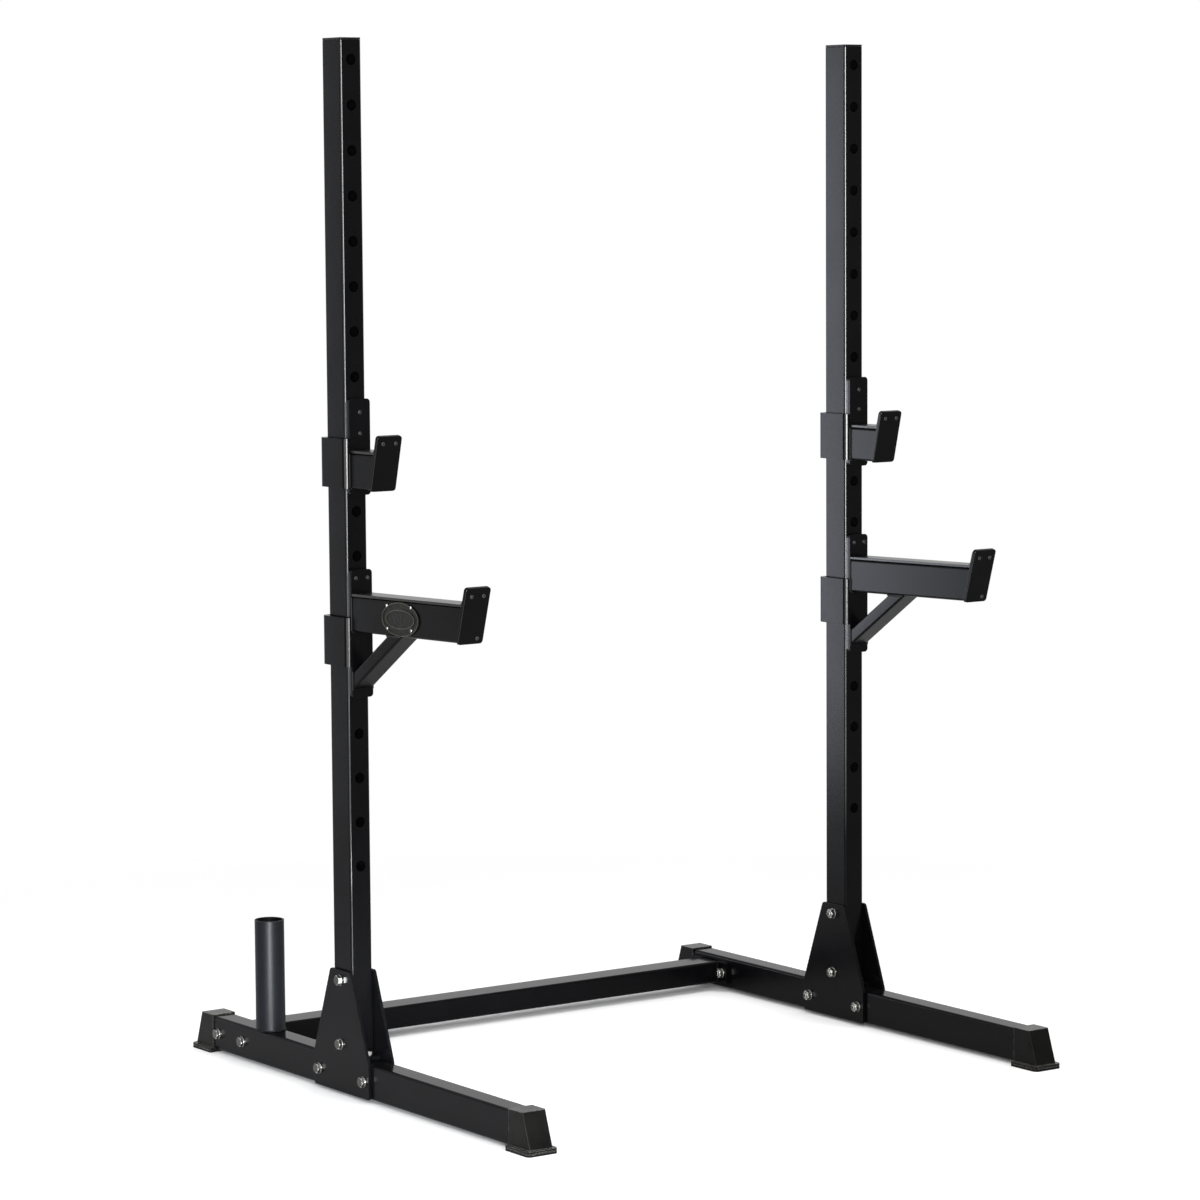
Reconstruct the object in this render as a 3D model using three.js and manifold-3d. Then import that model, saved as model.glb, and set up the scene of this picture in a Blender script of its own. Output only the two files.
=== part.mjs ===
// A squat stand: two perforated uprights on bolted feet, with hook-on bar cups and spotter arms.
// Millimetres, +Z up. The origin is on the floor at the middle of the stand, and the cups face -Y.
import * as THREE from 'three';
import { mergeVertices } from 'three/addons/utils/BufferGeometryUtils.js';
import Module from 'manifold-3d';

const wasm = await Module();
wasm.setup();

// Overall layout
const OVERALL_HEIGHT = 1960;
const UPRIGHT_SPACING = 1170; // centre to centre
const FRONT_REACH = 625; // upright centre to the front end of the sole
const REAR_REACH = 555; // upright centre to the rear end of the sole

// The rectangular tube of every main member
const TUBE_LONG = 65;
const TUBE_SHORT = 45;
const TUBE_WALL = 3;
const TUBE_CORNER = 5;

// Clearances and cutting
const SEAT_GAP = 0.3; // between pieces that rest on each other
const HOLE_CLEARANCE = 0.5; // round a bolt, on the radius
const CUT_OVERRUN = 5; // how far a cutting tool runs past the piece
const ARC_STEPS = 2; // curve divisions in an outline
const HOLE_SIDES = 12;
const PIN_SIDES = 16;
const BORE_SIDES = 24;

// Row of adjustment holes down each upright
const HOLE_DIAMETER = 20.5;
const HOLE_PITCH = 82.5;
const HOLE_COUNT = 19;
const FIRST_HOLE_DROP = 40; // below the very top
const CUP_HOLE_INDEX = 8; // counted from the top hole, which is 0
const ARM_HOLE_INDEX = 12;

// Plastic cap in the top of an upright
const CAP_THICKNESS = 4;
const CAP_PLUG_DEPTH = 20;

// Flange welded under an upright
const BASE_FLANGE_THICKNESS = 8;
const BASE_FLANGE_OVERHANG = 28; // past the front and the rear of the upright
const BASE_BOLT_INSET = 14; // from the end of the flange

// Gusset plates that clamp upright and foot together
const GUSSET_THICKNESS = 6;
const GUSSET_TOP_WIDTH = 70;
const GUSSET_BOTTOM_WIDTH = 192;
const GUSSET_RISE = 166; // above the foot
const GUSSET_CORNER = 5;
const GUSSET_TOP_BOLT_DROP = 19; // below the top edge
const GUSSET_MIDDLE_BOLT_RISE = 26; // above the foot
const GUSSET_FOOT_BOLT_INSET = 18; // from the side edge

// Cross member between the feet
const CROSS_INSET = 135; // from the rear end of the sole
const CROSS_FLANGE_THICKNESS = 8;
const CROSS_FLANGE_LENGTH = 120;
const CROSS_FLANGE_CORNER = 4;
const CROSS_BOLT_INSET = 14; // from the end of the flange

// Rubber boot on each end of a foot
const SOLE_THICKNESS = 10;
const SOLE_LIP = 7;
const SOLE_CORNER = 8;
const BOOT_LENGTH = 72; // along the sole
const BOOT_WALL = 2.5;
const BOOT_SLOPE = 22; // how far the end face leans back
const BOOT_EDGE = 4;
const BOOT_POCKET = 38;
const FOOT_LIFT = 7; // floor to the underside of the foot

// Upright socket that stores a bar on the left foot
const STORAGE_OUTER_DIAMETER = 57;
const STORAGE_WALL = 2.5;
const STORAGE_HEIGHT = 215;
const STORAGE_SETBACK = 303; // behind the upright's centre

// Bent bracket that hooks a cup or an arm onto an upright
const BRACKET_THICKNESS = 6;
const BRACKET_CORNER = 7;
const BEND_OUTER_RADIUS = 11;
const BEND_INNER_RADIUS = 5;
const WRAP_CLEARANCE = 4; // between the wrap and the upright
const WRAP_TOP_DROP = 30; // below the pin
const WRAP_HEIGHT = 91;
const HOOK_LENGTH = 32; // across the rear of the upright
const LINER_THICKNESS = 8; // plastic between bracket and upright
const LINER_INSET = 1;
const PIN_DIAMETER = 18;
const PIN_STICK_OUT = 7; // past the rear of the upright
const PIN_CHAMFER = 2;

// Bar cup
const CUP_PLATE_RISE = 43; // bracket plate above the pin
const CUP_PLATE_DROP = 134; // bracket plate below the pin
const CUP_BOX_DROP = 56; // top of the cup's box below the pin
const CUP_BOX_LENGTH = 70; // along its underside

// Spotter arm
const ARM_PLATE_RISE = 59;
const ARM_PLATE_DROP = 178;
const ARM_TOP_RISE = 10; // top of the arm's tube above the pin
const ARM_LENGTH = 350; // along its underside
const ARM_PITCH = THREE.MathUtils.degToRad(1.5); // the arm rises towards its lip
const BRACE_WIDTH = 42;
const BRACE_DEPTH = 26;
const BRACE_WALL = 2.5;
const BRACE_CORNER = 4;
const BRACE_REACH = 118; // where its upper face meets the arm's underside, from the bracket
const BRACE_SLOPE = THREE.MathUtils.degToRad(33.5);

// Lip plate and the moulded liner in front of it, on cups and arms
const LIP_WIDTH = 53;
const LIP_THICKNESS = 8;
const LIP_CORNER = 6;
const LIP_RISE = 37; // above the tube that it closes
const CUP_LIP_LEAN = THREE.MathUtils.degToRad(14);
const ARM_LIP_LEAN = THREE.MathUtils.degToRad(18);
const SADDLE_THICKNESS = 5;
const SADDLE_FILLET = 12;
const SADDLE_INSET = 6; // below the lip's top edge

// Plain oval plate on the left arm
const BADGE_LENGTH = 122;
const BADGE_HEIGHT = 62;
const BADGE_THICKNESS = 2;
const BADGE_DISTANCE = 168; // its centre from the bracket

// Hexagon bolts
const M10 = { shank: 10, flats: 17, head: 6.4, nut: 8, washer: 20, washerThickness: 2, spare: 3 };

// Places worked out from the sizes above
const FOOT_TOP = FOOT_LIFT + TUBE_LONG;
const FOOT_MIDDLE = FOOT_LIFT + TUBE_LONG / 2;
const UPRIGHT_Y = (FRONT_REACH - REAR_REACH) / 2;
const CROSS_Y = REAR_REACH - CROSS_INSET;
const BASE_FLANGE_LENGTH = TUBE_LONG + 2 * BASE_FLANGE_OVERHANG;
const PLATE_BACK = TUBE_LONG / 2 + LINER_THICKNESS + 2 * SEAT_GAP;
const PLATE_FRONT = PLATE_BACK + BRACKET_THICKNESS;
const TUBE_START = PLATE_FRONT + SEAT_GAP;

const PAINT = { color: 0x1b1b1e, roughness: 0.42, metalness: 0.25 };
const PLASTIC = { color: 0x161617, roughness: 0.6, metalness: 0 };
const RUBBER = { color: 0x202021, roughness: 0.75, metalness: 0 };
const ZINC = { color: 0xb9bbbe, roughness: 0.32, metalness: 0.9 };
const BADGE_METAL = { color: 0x4a4a48, roughness: 0.45, metalness: 0.6 };

function toSolid(geometry) {
  const bare = geometry.index ? geometry.toNonIndexed() : geometry.clone();
  bare.deleteAttribute('normal');
  bare.deleteAttribute('uv');
  const merged = mergeVertices(bare);
  return new wasm.Manifold(new wasm.Mesh({
    numProp: 3,
    vertProperties: new Float32Array(merged.attributes.position.array),
    triVerts: new Uint32Array(merged.index.array),
  }));
}

function toGeometry(solid) {
  const { vertProperties, triVerts } = solid.getMesh();
  const indexed = new THREE.BufferGeometry();
  indexed.setAttribute('position', new THREE.BufferAttribute(vertProperties, 3));
  indexed.setIndex(new THREE.BufferAttribute(triVerts, 1));
  const flat = indexed.toNonIndexed();
  flat.computeVertexNormals();
  return flat;
}

function joinAll(solids) {
  return solids.reduce((whole, solid) => whole.add(solid));
}

function cutAll(solid, tools) {
  return tools.reduce((rest, tool) => rest.subtract(tool), solid);
}

// A closed outline through the corners [x, y, radius], each rounded by its radius.
function outline(corners) {
  const shape = new THREE.Shape();
  corners.forEach(([x, y, radius = 0], i) => {
    const corner = new THREE.Vector2(x, y);
    const before = new THREE.Vector2(...corners.at(i - 1));
    const after = new THREE.Vector2(...corners[(i + 1) % corners.length]);
    const toBefore = before.sub(corner).normalize();
    const toAfter = after.sub(corner).normalize();
    const reach = radius / Math.tan(toBefore.angleTo(toAfter) / 2);
    const start = corner.clone().addScaledVector(toBefore, reach);
    const end = corner.clone().addScaledVector(toAfter, reach);
    if (i === 0) shape.moveTo(start.x, start.y);
    else shape.lineTo(start.x, start.y);
    if (radius > 0) shape.quadraticCurveTo(x, y, end.x, end.y);
  });
  shape.closePath();
  return shape;
}

function rectangle(width, height, radius = 0) {
  const [x, y] = [width / 2, height / 2];
  return outline([[-x, -y, radius], [x, -y, radius], [x, y, radius], [-x, y, radius]]);
}

function extrude(shape, depth) {
  return new THREE.ExtrudeGeometry(shape, { depth, bevelEnabled: false, curveSegments: ARC_STEPS });
}

// Extrudes an outline drawn in Y and Z, centred across X.
function extrudeAcross(shape, width) {
  const geometry = extrude(shape, width);
  geometry.translate(0, 0, -width / 2);
  const basis = new THREE.Matrix4().makeBasis(
    new THREE.Vector3(0, 1, 0), new THREE.Vector3(0, 0, 1), new THREE.Vector3(1, 0, 0));
  return geometry.applyMatrix4(basis);
}

// Extrudes an outline drawn in X and Z along +Y, from the given start.
function extrudeBack(shape, depth, start) {
  const geometry = extrude(shape, depth);
  const basis = new THREE.Matrix4().makeBasis(
    new THREE.Vector3(-1, 0, 0), new THREE.Vector3(0, 0, 1), new THREE.Vector3(0, 1, 0));
  return geometry.applyMatrix4(basis).translate(0, start, 0);
}

// A cylinder along one axis, through the given place on the other two.
function rod(axis, diameter, start, end, sides, place = [0, 0, 0]) {
  const geometry = new THREE.CylinderGeometry(diameter / 2, diameter / 2, end - start, sides);
  geometry.translate(0, (start + end) / 2, 0);
  if (axis === 'x') geometry.rotateZ(-Math.PI / 2);
  if (axis === 'z') geometry.rotateX(Math.PI / 2);
  return toSolid(geometry.translate(...place));
}

// Rectangular tube along +Z from 0 to its length.
function tubeAlongZ(width, depth, wall, corner, length) {
  const skin = toSolid(extrude(rectangle(width, depth, corner), length));
  const core = extrude(rectangle(width - 2 * wall, depth - 2 * wall), length + 2 * CUT_OVERRUN);
  return skin.subtract(toSolid(core.translate(0, 0, -CUT_OVERRUN)));
}

// The tall side of the standard tube stands along Z, and the tube runs from Y = start to end.
function tubeAlongY(start, end) {
  const length = end - start;
  const skin = toSolid(extrudeBack(rectangle(TUBE_SHORT, TUBE_LONG, TUBE_CORNER), length, start));
  const inside = rectangle(TUBE_SHORT - 2 * TUBE_WALL, TUBE_LONG - 2 * TUBE_WALL);
  const core = extrudeBack(inside, length + 2 * CUT_OVERRUN, start - CUT_OVERRUN);
  return skin.subtract(toSolid(core));
}

function piece(name, solid, finish, position = [0, 0, 0]) {
  const mesh = new THREE.Mesh(toGeometry(solid), new THREE.MeshStandardMaterial(finish));
  mesh.name = name;
  mesh.position.set(...position);
  return mesh;
}

// Bolt, two washers and nut in one solid along +X, head first, clamping a grip centred on 0.
function boltSolid(size, grip) {
  const face = grip / 2 + SEAT_GAP;
  const outside = face + size.washerThickness;
  const hexagon = 2 * size.flats / Math.sqrt(3);
  return joinAll([
    rod('x', size.shank, -outside - size.head / 2, outside + size.nut + size.spare, HOLE_SIDES),
    rod('x', size.washer, -outside, -face, HOLE_SIDES),
    rod('x', size.washer, face, outside, HOLE_SIDES),
    rod('x', hexagon, -outside - size.head, -outside, 6),
    rod('x', hexagon, outside, outside + size.nut, 6),
  ]);
}

function boltHole(axis, size, start, end, place) {
  return rod(axis, size.shank + 2 * HOLE_CLEARANCE, start, end, HOLE_SIDES, place);
}

function holeHeight(index) {
  return OVERALL_HEIGHT - FIRST_HOLE_DROP - index * HOLE_PITCH;
}

// Where the gusset bolts sit, in Y from the upright and in Z.
function gussetBoltPlaces() {
  const footBolt = GUSSET_BOTTOM_WIDTH / 2 - GUSSET_FOOT_BOLT_INSET;
  return {
    top: [0, FOOT_TOP + GUSSET_RISE - GUSSET_TOP_BOLT_DROP],
    middle: [0, FOOT_TOP + GUSSET_MIDDLE_BOLT_RISE],
    front: [-footBolt, FOOT_MIDDLE],
    rear: [footBolt, FOOT_MIDDLE],
  };
}

const CROSS_BOLT_OFFSET = CROSS_FLANGE_LENGTH / 2 - CROSS_BOLT_INSET;
const BASE_BOLT_OFFSET = BASE_FLANGE_LENGTH / 2 - BASE_BOLT_INSET;

function footTube() {
  const front = -(FRONT_REACH - BOOT_LENGTH + BOOT_POCKET - SEAT_GAP);
  const rear = REAR_REACH - BOOT_LENGTH + BOOT_POCKET - SEAT_GAP;
  const tube = tubeAlongY(front, rear).translate([0, 0, FOOT_MIDDLE]);
  const reach = TUBE_SHORT / 2 + CUT_OVERRUN;
  const places = gussetBoltPlaces();
  const crossings = [places.front, places.rear, [CROSS_Y - CROSS_BOLT_OFFSET, FOOT_MIDDLE],
    [CROSS_Y + CROSS_BOLT_OFFSET, FOOT_MIDDLE]];
  const sideHoles = crossings.map(([y, z]) => boltHole('x', M10, -reach, reach, [0, y, z]));
  const topHoles = [-1, 1].map((end) =>
    boltHole('z', M10, FOOT_MIDDLE, FOOT_TOP + CUT_OVERRUN, [0, end * BASE_BOLT_OFFSET, 0]));
  return cutAll(tube, [...sideHoles, ...topHoles]);
}

// The upright stands on the flange that is welded under it, so both are one solid.
function upright() {
  const base = FOOT_TOP + SEAT_GAP;
  const top = OVERALL_HEIGHT - CAP_THICKNESS - SEAT_GAP;
  const tube = tubeAlongZ(TUBE_SHORT, TUBE_LONG, TUBE_WALL, TUBE_CORNER, top - base);
  const flange = toSolid(extrude(rectangle(TUBE_SHORT, BASE_FLANGE_LENGTH), BASE_FLANGE_THICKNESS));
  const weldment = tube.add(flange).translate([0, 0, base]);
  const reachY = TUBE_LONG / 2 + CUT_OVERRUN;
  const reachX = TUBE_SHORT / 2 + CUT_OVERRUN;
  const pinHoles = Array.from({ length: HOLE_COUNT }, (_, i) =>
    rod('y', HOLE_DIAMETER, -reachY, reachY, HOLE_SIDES, [0, 0, holeHeight(i)]));
  const places = gussetBoltPlaces();
  const sideHoles = [places.top, places.middle].map(([y, z]) =>
    boltHole('x', M10, -reachX, reachX, [0, y, z]));
  const flangeHoles = [-1, 1].map((end) => boltHole('z', M10, base - CUT_OVERRUN,
    base + BASE_FLANGE_THICKNESS + CUT_OVERRUN, [0, end * BASE_BOLT_OFFSET, 0]));
  return cutAll(weldment, [...pinHoles, ...sideHoles, ...flangeHoles]);
}

function uprightCap() {
  const lid = toSolid(extrude(rectangle(TUBE_SHORT, TUBE_LONG, TUBE_CORNER), CAP_THICKNESS));
  const fit = 2 * (TUBE_WALL + SEAT_GAP);
  const plug = extrude(rectangle(TUBE_SHORT - fit, TUBE_LONG - fit), CAP_PLUG_DEPTH + CAP_THICKNESS / 2);
  return lid.add(toSolid(plug.translate(0, 0, -CAP_PLUG_DEPTH)));
}

function gusset() {
  const [top, bottom] = [GUSSET_TOP_WIDTH / 2, GUSSET_BOTTOM_WIDTH / 2];
  const shape = outline([
    [-bottom, FOOT_LIFT, GUSSET_CORNER], [bottom, FOOT_LIFT, GUSSET_CORNER],
    [bottom, FOOT_TOP, GUSSET_CORNER], [top, FOOT_TOP + GUSSET_RISE, GUSSET_CORNER],
    [-top, FOOT_TOP + GUSSET_RISE, GUSSET_CORNER], [-bottom, FOOT_TOP, GUSSET_CORNER],
  ]);
  const holes = Object.values(gussetBoltPlaces()).map(([y, z]) =>
    boltHole('x', M10, -GUSSET_THICKNESS, GUSSET_THICKNESS, [0, y, z]));
  return cutAll(toSolid(extrudeAcross(shape, GUSSET_THICKNESS)), holes);
}

// The tube and its two end flanges are welded, so the tube's bore runs through the flanges.
function crossMember() {
  const length = UPRIGHT_SPACING - TUBE_SHORT - 2 * SEAT_GAP;
  const skin = toSolid(extrudeAcross(rectangle(TUBE_LONG, TUBE_SHORT, TUBE_CORNER), length));
  const flangeShape = rectangle(CROSS_FLANGE_LENGTH, TUBE_SHORT, CROSS_FLANGE_CORNER);
  const flangeX = (length - CROSS_FLANGE_THICKNESS) / 2;
  const flanges = [-1, 1].map((side) =>
    toSolid(extrudeAcross(flangeShape, CROSS_FLANGE_THICKNESS)).translate([side * flangeX, 0, 0]));
  const reach = length / 2 + CUT_OVERRUN;
  const core = rectangle(TUBE_LONG - 2 * TUBE_WALL, TUBE_SHORT - 2 * TUBE_WALL);
  const holes = [-1, 1].map((end) =>
    boltHole('x', M10, -reach, reach, [0, end * CROSS_BOLT_OFFSET, 0]));
  return cutAll(joinAll([skin, ...flanges]), [toSolid(extrudeAcross(core, 2 * reach)), ...holes]);
}

// Boot on the -Y end of a foot, with its origin on the floor at the sole's end.
function boot() {
  const width = TUBE_SHORT + 2 * (SEAT_GAP + BOOT_WALL);
  const top = FOOT_TOP + SEAT_GAP + BOOT_WALL;
  const body = outline([
    [BOOT_LENGTH, 0], [BOOT_LENGTH, top, BOOT_EDGE / 2],
    [SOLE_LIP + BOOT_SLOPE, top, BOOT_EDGE], [SOLE_LIP, SOLE_THICKNESS], [SOLE_LIP, 0],
  ]);
  const half = width / 2 + SOLE_LIP;
  const sole = outline([[-half, 0, SOLE_CORNER], [half, 0, SOLE_CORNER], [half, BOOT_LENGTH],
    [-half, BOOT_LENGTH]]);
  const pocketShape = rectangle(TUBE_SHORT + 2 * SEAT_GAP, TUBE_LONG + 2 * SEAT_GAP, TUBE_CORNER);
  const pocket = extrudeBack(pocketShape, BOOT_POCKET + CUT_OVERRUN, BOOT_LENGTH - BOOT_POCKET);
  return toSolid(extrudeAcross(body, width))
    .add(toSolid(extrude(sole, SOLE_THICKNESS)))
    .subtract(toSolid(pocket.translate(0, 0, FOOT_MIDDLE)));
}

function storageTube() {
  const outer = STORAGE_OUTER_DIAMETER / 2;
  const inner = outer - STORAGE_WALL;
  const profile = [[inner, 0], [outer, 0], [outer, STORAGE_HEIGHT], [inner, STORAGE_HEIGHT], [inner, 0]];
  const ring = new THREE.LatheGeometry(profile.map(([r, h]) => new THREE.Vector2(r, h)), BORE_SIDES);
  return toSolid(ring.rotateX(Math.PI / 2));
}

// Bent plate with its origin on the pin's axis at the upright's centre: a flat front plate, a wrap
// down the -X side of the upright and a hook behind it.
function bracket(rise, drop) {
  const front = outline([
    [-TUBE_SHORT / 2, -drop, BRACKET_CORNER], [TUBE_SHORT / 2, -drop, BRACKET_CORNER],
    [TUBE_SHORT / 2, rise, BRACKET_CORNER], [-TUBE_SHORT / 2, rise, BRACKET_CORNER],
  ]);
  const innerX = -(TUBE_SHORT / 2 + WRAP_CLEARANCE);
  const outerX = innerX - BRACKET_THICKNESS;
  const innerY = TUBE_LONG / 2 + WRAP_CLEARANCE;
  const outerY = innerY + BRACKET_THICKNESS;
  const hookX = outerX + HOOK_LENGTH;
  const wrap = outline([
    [TUBE_SHORT / 2, -PLATE_FRONT], [TUBE_SHORT / 2, -PLATE_BACK],
    [innerX, -PLATE_BACK, BEND_INNER_RADIUS], [innerX, innerY, BEND_INNER_RADIUS],
    [hookX, innerY], [hookX, outerY],
    [outerX, outerY, BEND_OUTER_RADIUS], [outerX, -PLATE_FRONT, BEND_OUTER_RADIUS],
  ]);
  const wrapSolid = extrude(wrap, WRAP_HEIGHT).translate(0, 0, -WRAP_TOP_DROP - WRAP_HEIGHT);
  return toSolid(extrudeBack(front, BRACKET_THICKNESS, -PLATE_FRONT)).add(toSolid(wrapSolid));
}

function backLiner(rise, drop) {
  const x = TUBE_SHORT / 2 - LINER_INSET;
  const shape = outline([
    [-x, LINER_INSET - drop, BRACKET_CORNER], [x, LINER_INSET - drop, BRACKET_CORNER],
    [x, rise - LINER_INSET, BRACKET_CORNER], [-x, rise - LINER_INSET, BRACKET_CORNER],
  ]);
  const front = -(TUBE_LONG / 2 + SEAT_GAP + LINER_THICKNESS);
  const slab = toSolid(extrudeBack(shape, LINER_THICKNESS, front));
  const hole = rod('y', PIN_DIAMETER + 2 * HOLE_CLEARANCE, front - CUT_OVERRUN, CUT_OVERRUN, PIN_SIDES);
  return slab.subtract(hole);
}

// Pin from the bracket's rear face through both walls of the upright, with a chamfered end.
function pin() {
  const start = -(PLATE_BACK - SEAT_GAP);
  const end = TUBE_LONG / 2 + PIN_STICK_OUT;
  const radius = PIN_DIAMETER / 2;
  const profile = [[0, start], [radius, start], [radius, end - PIN_CHAMFER], [radius - PIN_CHAMFER, end],
    [0, end]];
  return toSolid(new THREE.LatheGeometry(profile.map(([r, y]) => new THREE.Vector2(r, y)), PIN_SIDES));
}

// Group for a tube that leaves the bracket, with its origin at the tube's top edge on the bracket.
function reachGroup(top, pitch) {
  const group = new THREE.Group();
  group.position.set(0, -TUBE_START, top);
  group.rotation.x = -pitch;
  return group;
}

// Corners of such a tube in Y and Z: its lower edge on the bracket, and its slanted front end.
function slantedEnd(length, lean, pitch) {
  return {
    heel: [TUBE_LONG * Math.tan(pitch), -TUBE_LONG],
    foot: [-length, -TUBE_LONG],
    head: [-length - TUBE_LONG * Math.tan(lean), 0],
  };
}

function slantedTube(end) {
  const side = outline([[0, 0], end.head, end.foot, end.heel]);
  const tube = tubeAlongY(end.head[0], end.heel[0]).translate([0, 0, -TUBE_LONG / 2]);
  return tube.intersect(toSolid(extrudeAcross(side, TUBE_SHORT + CUT_OVERRUN)));
}

// Lip plate lying on the slanted end of its tube, leaning away from the upright.
function lipPlate(name, end, lean) {
  const length = (TUBE_LONG + LIP_RISE) / Math.cos(lean);
  const x = LIP_WIDTH / 2;
  const shape = outline([[-x, 0, LIP_CORNER], [x, 0, LIP_CORNER], [x, length, LIP_CORNER],
    [-x, length, LIP_CORNER]]);
  const plate = piece(name, toSolid(extrude(shape, LIP_THICKNESS)), PAINT);
  plate.rotation.x = Math.PI / 2 + lean;
  plate.position.set(0, end.foot[0] - SEAT_GAP * Math.cos(lean), end.foot[1] - SEAT_GAP * Math.sin(lean));
  return plate;
}

// Moulded liner: a floor on the tube that turns up the inner face of the lip.
function saddleLiner(end, lean, pitch) {
  const seat = SEAT_GAP + SADDLE_THICKNESS;
  const ceiling = LIP_RISE - SADDLE_INSET;
  const bracketY = (z) => -z * Math.tan(pitch);
  const lipY = (z) => end.head[0] - z * Math.tan(lean);
  const inset = SADDLE_THICKNESS / Math.cos(lean);
  return toSolid(extrudeAcross(outline([
    [bracketY(SEAT_GAP), SEAT_GAP], [lipY(SEAT_GAP), SEAT_GAP], [lipY(ceiling), ceiling],
    [lipY(ceiling) + inset, ceiling], [lipY(seat) + inset, seat, SADDLE_FILLET], [bracketY(seat), seat],
  ]), TUBE_SHORT));
}

// Sloping tube from the bracket's lower end to the arm's underside, mitred to both.
function brace(armTop, pitch) {
  const root = armTop - (TUBE_LONG + SEAT_GAP) / Math.cos(pitch);
  const ceiling = (reach) => root + reach * Math.tan(pitch);
  const length = 2 * (BRACE_REACH + BRACE_DEPTH) / Math.cos(BRACE_SLOPE);
  const tube = tubeAlongZ(BRACE_WIDTH, BRACE_DEPTH, BRACE_WALL, BRACE_CORNER, length)
    .translate([0, -BRACE_DEPTH / 2, -length / 2])
    .rotate([90 - THREE.MathUtils.radToDeg(BRACE_SLOPE), 0, 0])
    .translate([0, -(TUBE_START + BRACE_REACH), ceiling(BRACE_REACH)]);
  const front = -(TUBE_START + length);
  const room = outline([[-TUBE_START, root], [front, ceiling(length)], [front, root - length],
    [-TUBE_START, root - length]]);
  return tube.intersect(toSolid(extrudeAcross(room, BRACE_WIDTH + CUT_OVERRUN)));
}

function badge() {
  const oval = new THREE.Shape();
  oval.absellipse(0, 0, BADGE_LENGTH / 2, BADGE_HEIGHT / 2, 0, 2 * Math.PI);
  const geometry = new THREE.ExtrudeGeometry(oval,
    { depth: BADGE_THICKNESS, bevelEnabled: false, curveSegments: HOLE_SIDES });
  geometry.rotateY(-Math.PI / 2).rotateX(Math.PI / 2);
  return toSolid(geometry).translate([-(TUBE_SHORT / 2 + SEAT_GAP), -BADGE_DISTANCE, -TUBE_LONG / 2]);
}

// Turns a bolt's head towards +X when its side is 1, or leaves it towards -X when it is -1.
function placeBolt(name, solid, side, position) {
  const bolt = piece(name, solid, ZINC, position);
  bolt.rotation.z = side > 0 ? Math.PI : 0;
  return bolt;
}

// Foot, upright, gussets, boots and bolts of one side; side is -1 for left and 1 for right.
function stand(label, side) {
  const group = new THREE.Group();
  group.position.set(side * UPRIGHT_SPACING / 2, UPRIGHT_Y, 0);
  group.add(piece(`${label}_foot_tube`, footTube(), PAINT));
  group.add(piece(`${label}_upright`, upright(), PAINT));
  group.add(piece(`${label}_upright_cap`, uprightCap(), PLASTIC, [0, 0, OVERALL_HEIGHT - CAP_THICKNESS]));
  const gussetX = TUBE_SHORT / 2 + SEAT_GAP + GUSSET_THICKNESS / 2;
  group.add(piece(`${label}_outer_gusset`, gusset(), PAINT, [side * gussetX, 0, 0]));
  group.add(piece(`${label}_inner_gusset`, gusset(), PAINT, [-side * gussetX, 0, 0]));
  group.add(piece(`${label}_front_boot`, boot(), RUBBER, [0, -FRONT_REACH, 0]));
  const rearBoot = piece(`${label}_rear_boot`, boot(), RUBBER, [0, REAR_REACH, 0]);
  rearBoot.rotation.z = Math.PI;
  group.add(rearBoot);

  const gussetBolt = boltSolid(M10, 2 * gussetX + GUSSET_THICKNESS);
  for (const [place, [y, z]] of Object.entries(gussetBoltPlaces())) {
    group.add(placeBolt(`${label}_gusset_bolt_${place}`, gussetBolt, side, [0, y, z]));
  }
  const crossGrip = TUBE_SHORT + SEAT_GAP + CROSS_FLANGE_THICKNESS;
  const crossBolt = boltSolid(M10, crossGrip);
  const crossX = -side * (crossGrip - TUBE_SHORT) / 2;
  for (const [place, end] of [['front', -1], ['rear', 1]]) {
    const position = [crossX, CROSS_Y + end * CROSS_BOLT_OFFSET, FOOT_MIDDLE];
    group.add(placeBolt(`${label}_cross_bolt_${place}`, crossBolt, side, position));
  }
  const baseGrip = BASE_FLANGE_THICKNESS + SEAT_GAP + TUBE_WALL;
  const baseBolt = boltSolid(M10, baseGrip);
  for (const [place, end] of [['front', -1], ['rear', 1]]) {
    const position = [0, end * BASE_BOLT_OFFSET, FOOT_TOP + (baseGrip - 2 * TUBE_WALL) / 2];
    const bolt = piece(`${label}_base_bolt_${place}`, baseBolt, ZINC, position);
    bolt.rotation.y = Math.PI / 2;
    group.add(bolt);
  }
  return group;
}

// Pieces that every cup and arm share, in a group that stands on its pin's axis.
function hookOn(label, kind, side, hole, rise, drop) {
  const group = new THREE.Group();
  group.position.set(side * UPRIGHT_SPACING / 2, UPRIGHT_Y, holeHeight(hole));
  group.add(piece(`${label}_${kind}_bracket`, bracket(rise, drop), PAINT));
  group.add(piece(`${label}_${kind}_back_liner`, backLiner(rise, drop), PLASTIC));
  group.add(piece(`${label}_${kind}_pin`, pin(), ZINC));
  return group;
}

function cup(label, side) {
  const group = hookOn(label, 'cup', side, CUP_HOLE_INDEX, CUP_PLATE_RISE, CUP_PLATE_DROP);
  const end = slantedEnd(CUP_BOX_LENGTH, CUP_LIP_LEAN, 0);
  const reach = reachGroup(-CUP_BOX_DROP, 0);
  reach.add(piece(`${label}_cup_box`, slantedTube(end), PAINT));
  reach.add(lipPlate(`${label}_cup_lip`, end, CUP_LIP_LEAN));
  reach.add(piece(`${label}_cup_saddle_liner`, saddleLiner(end, CUP_LIP_LEAN, 0), PLASTIC));
  return group.add(reach);
}

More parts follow.
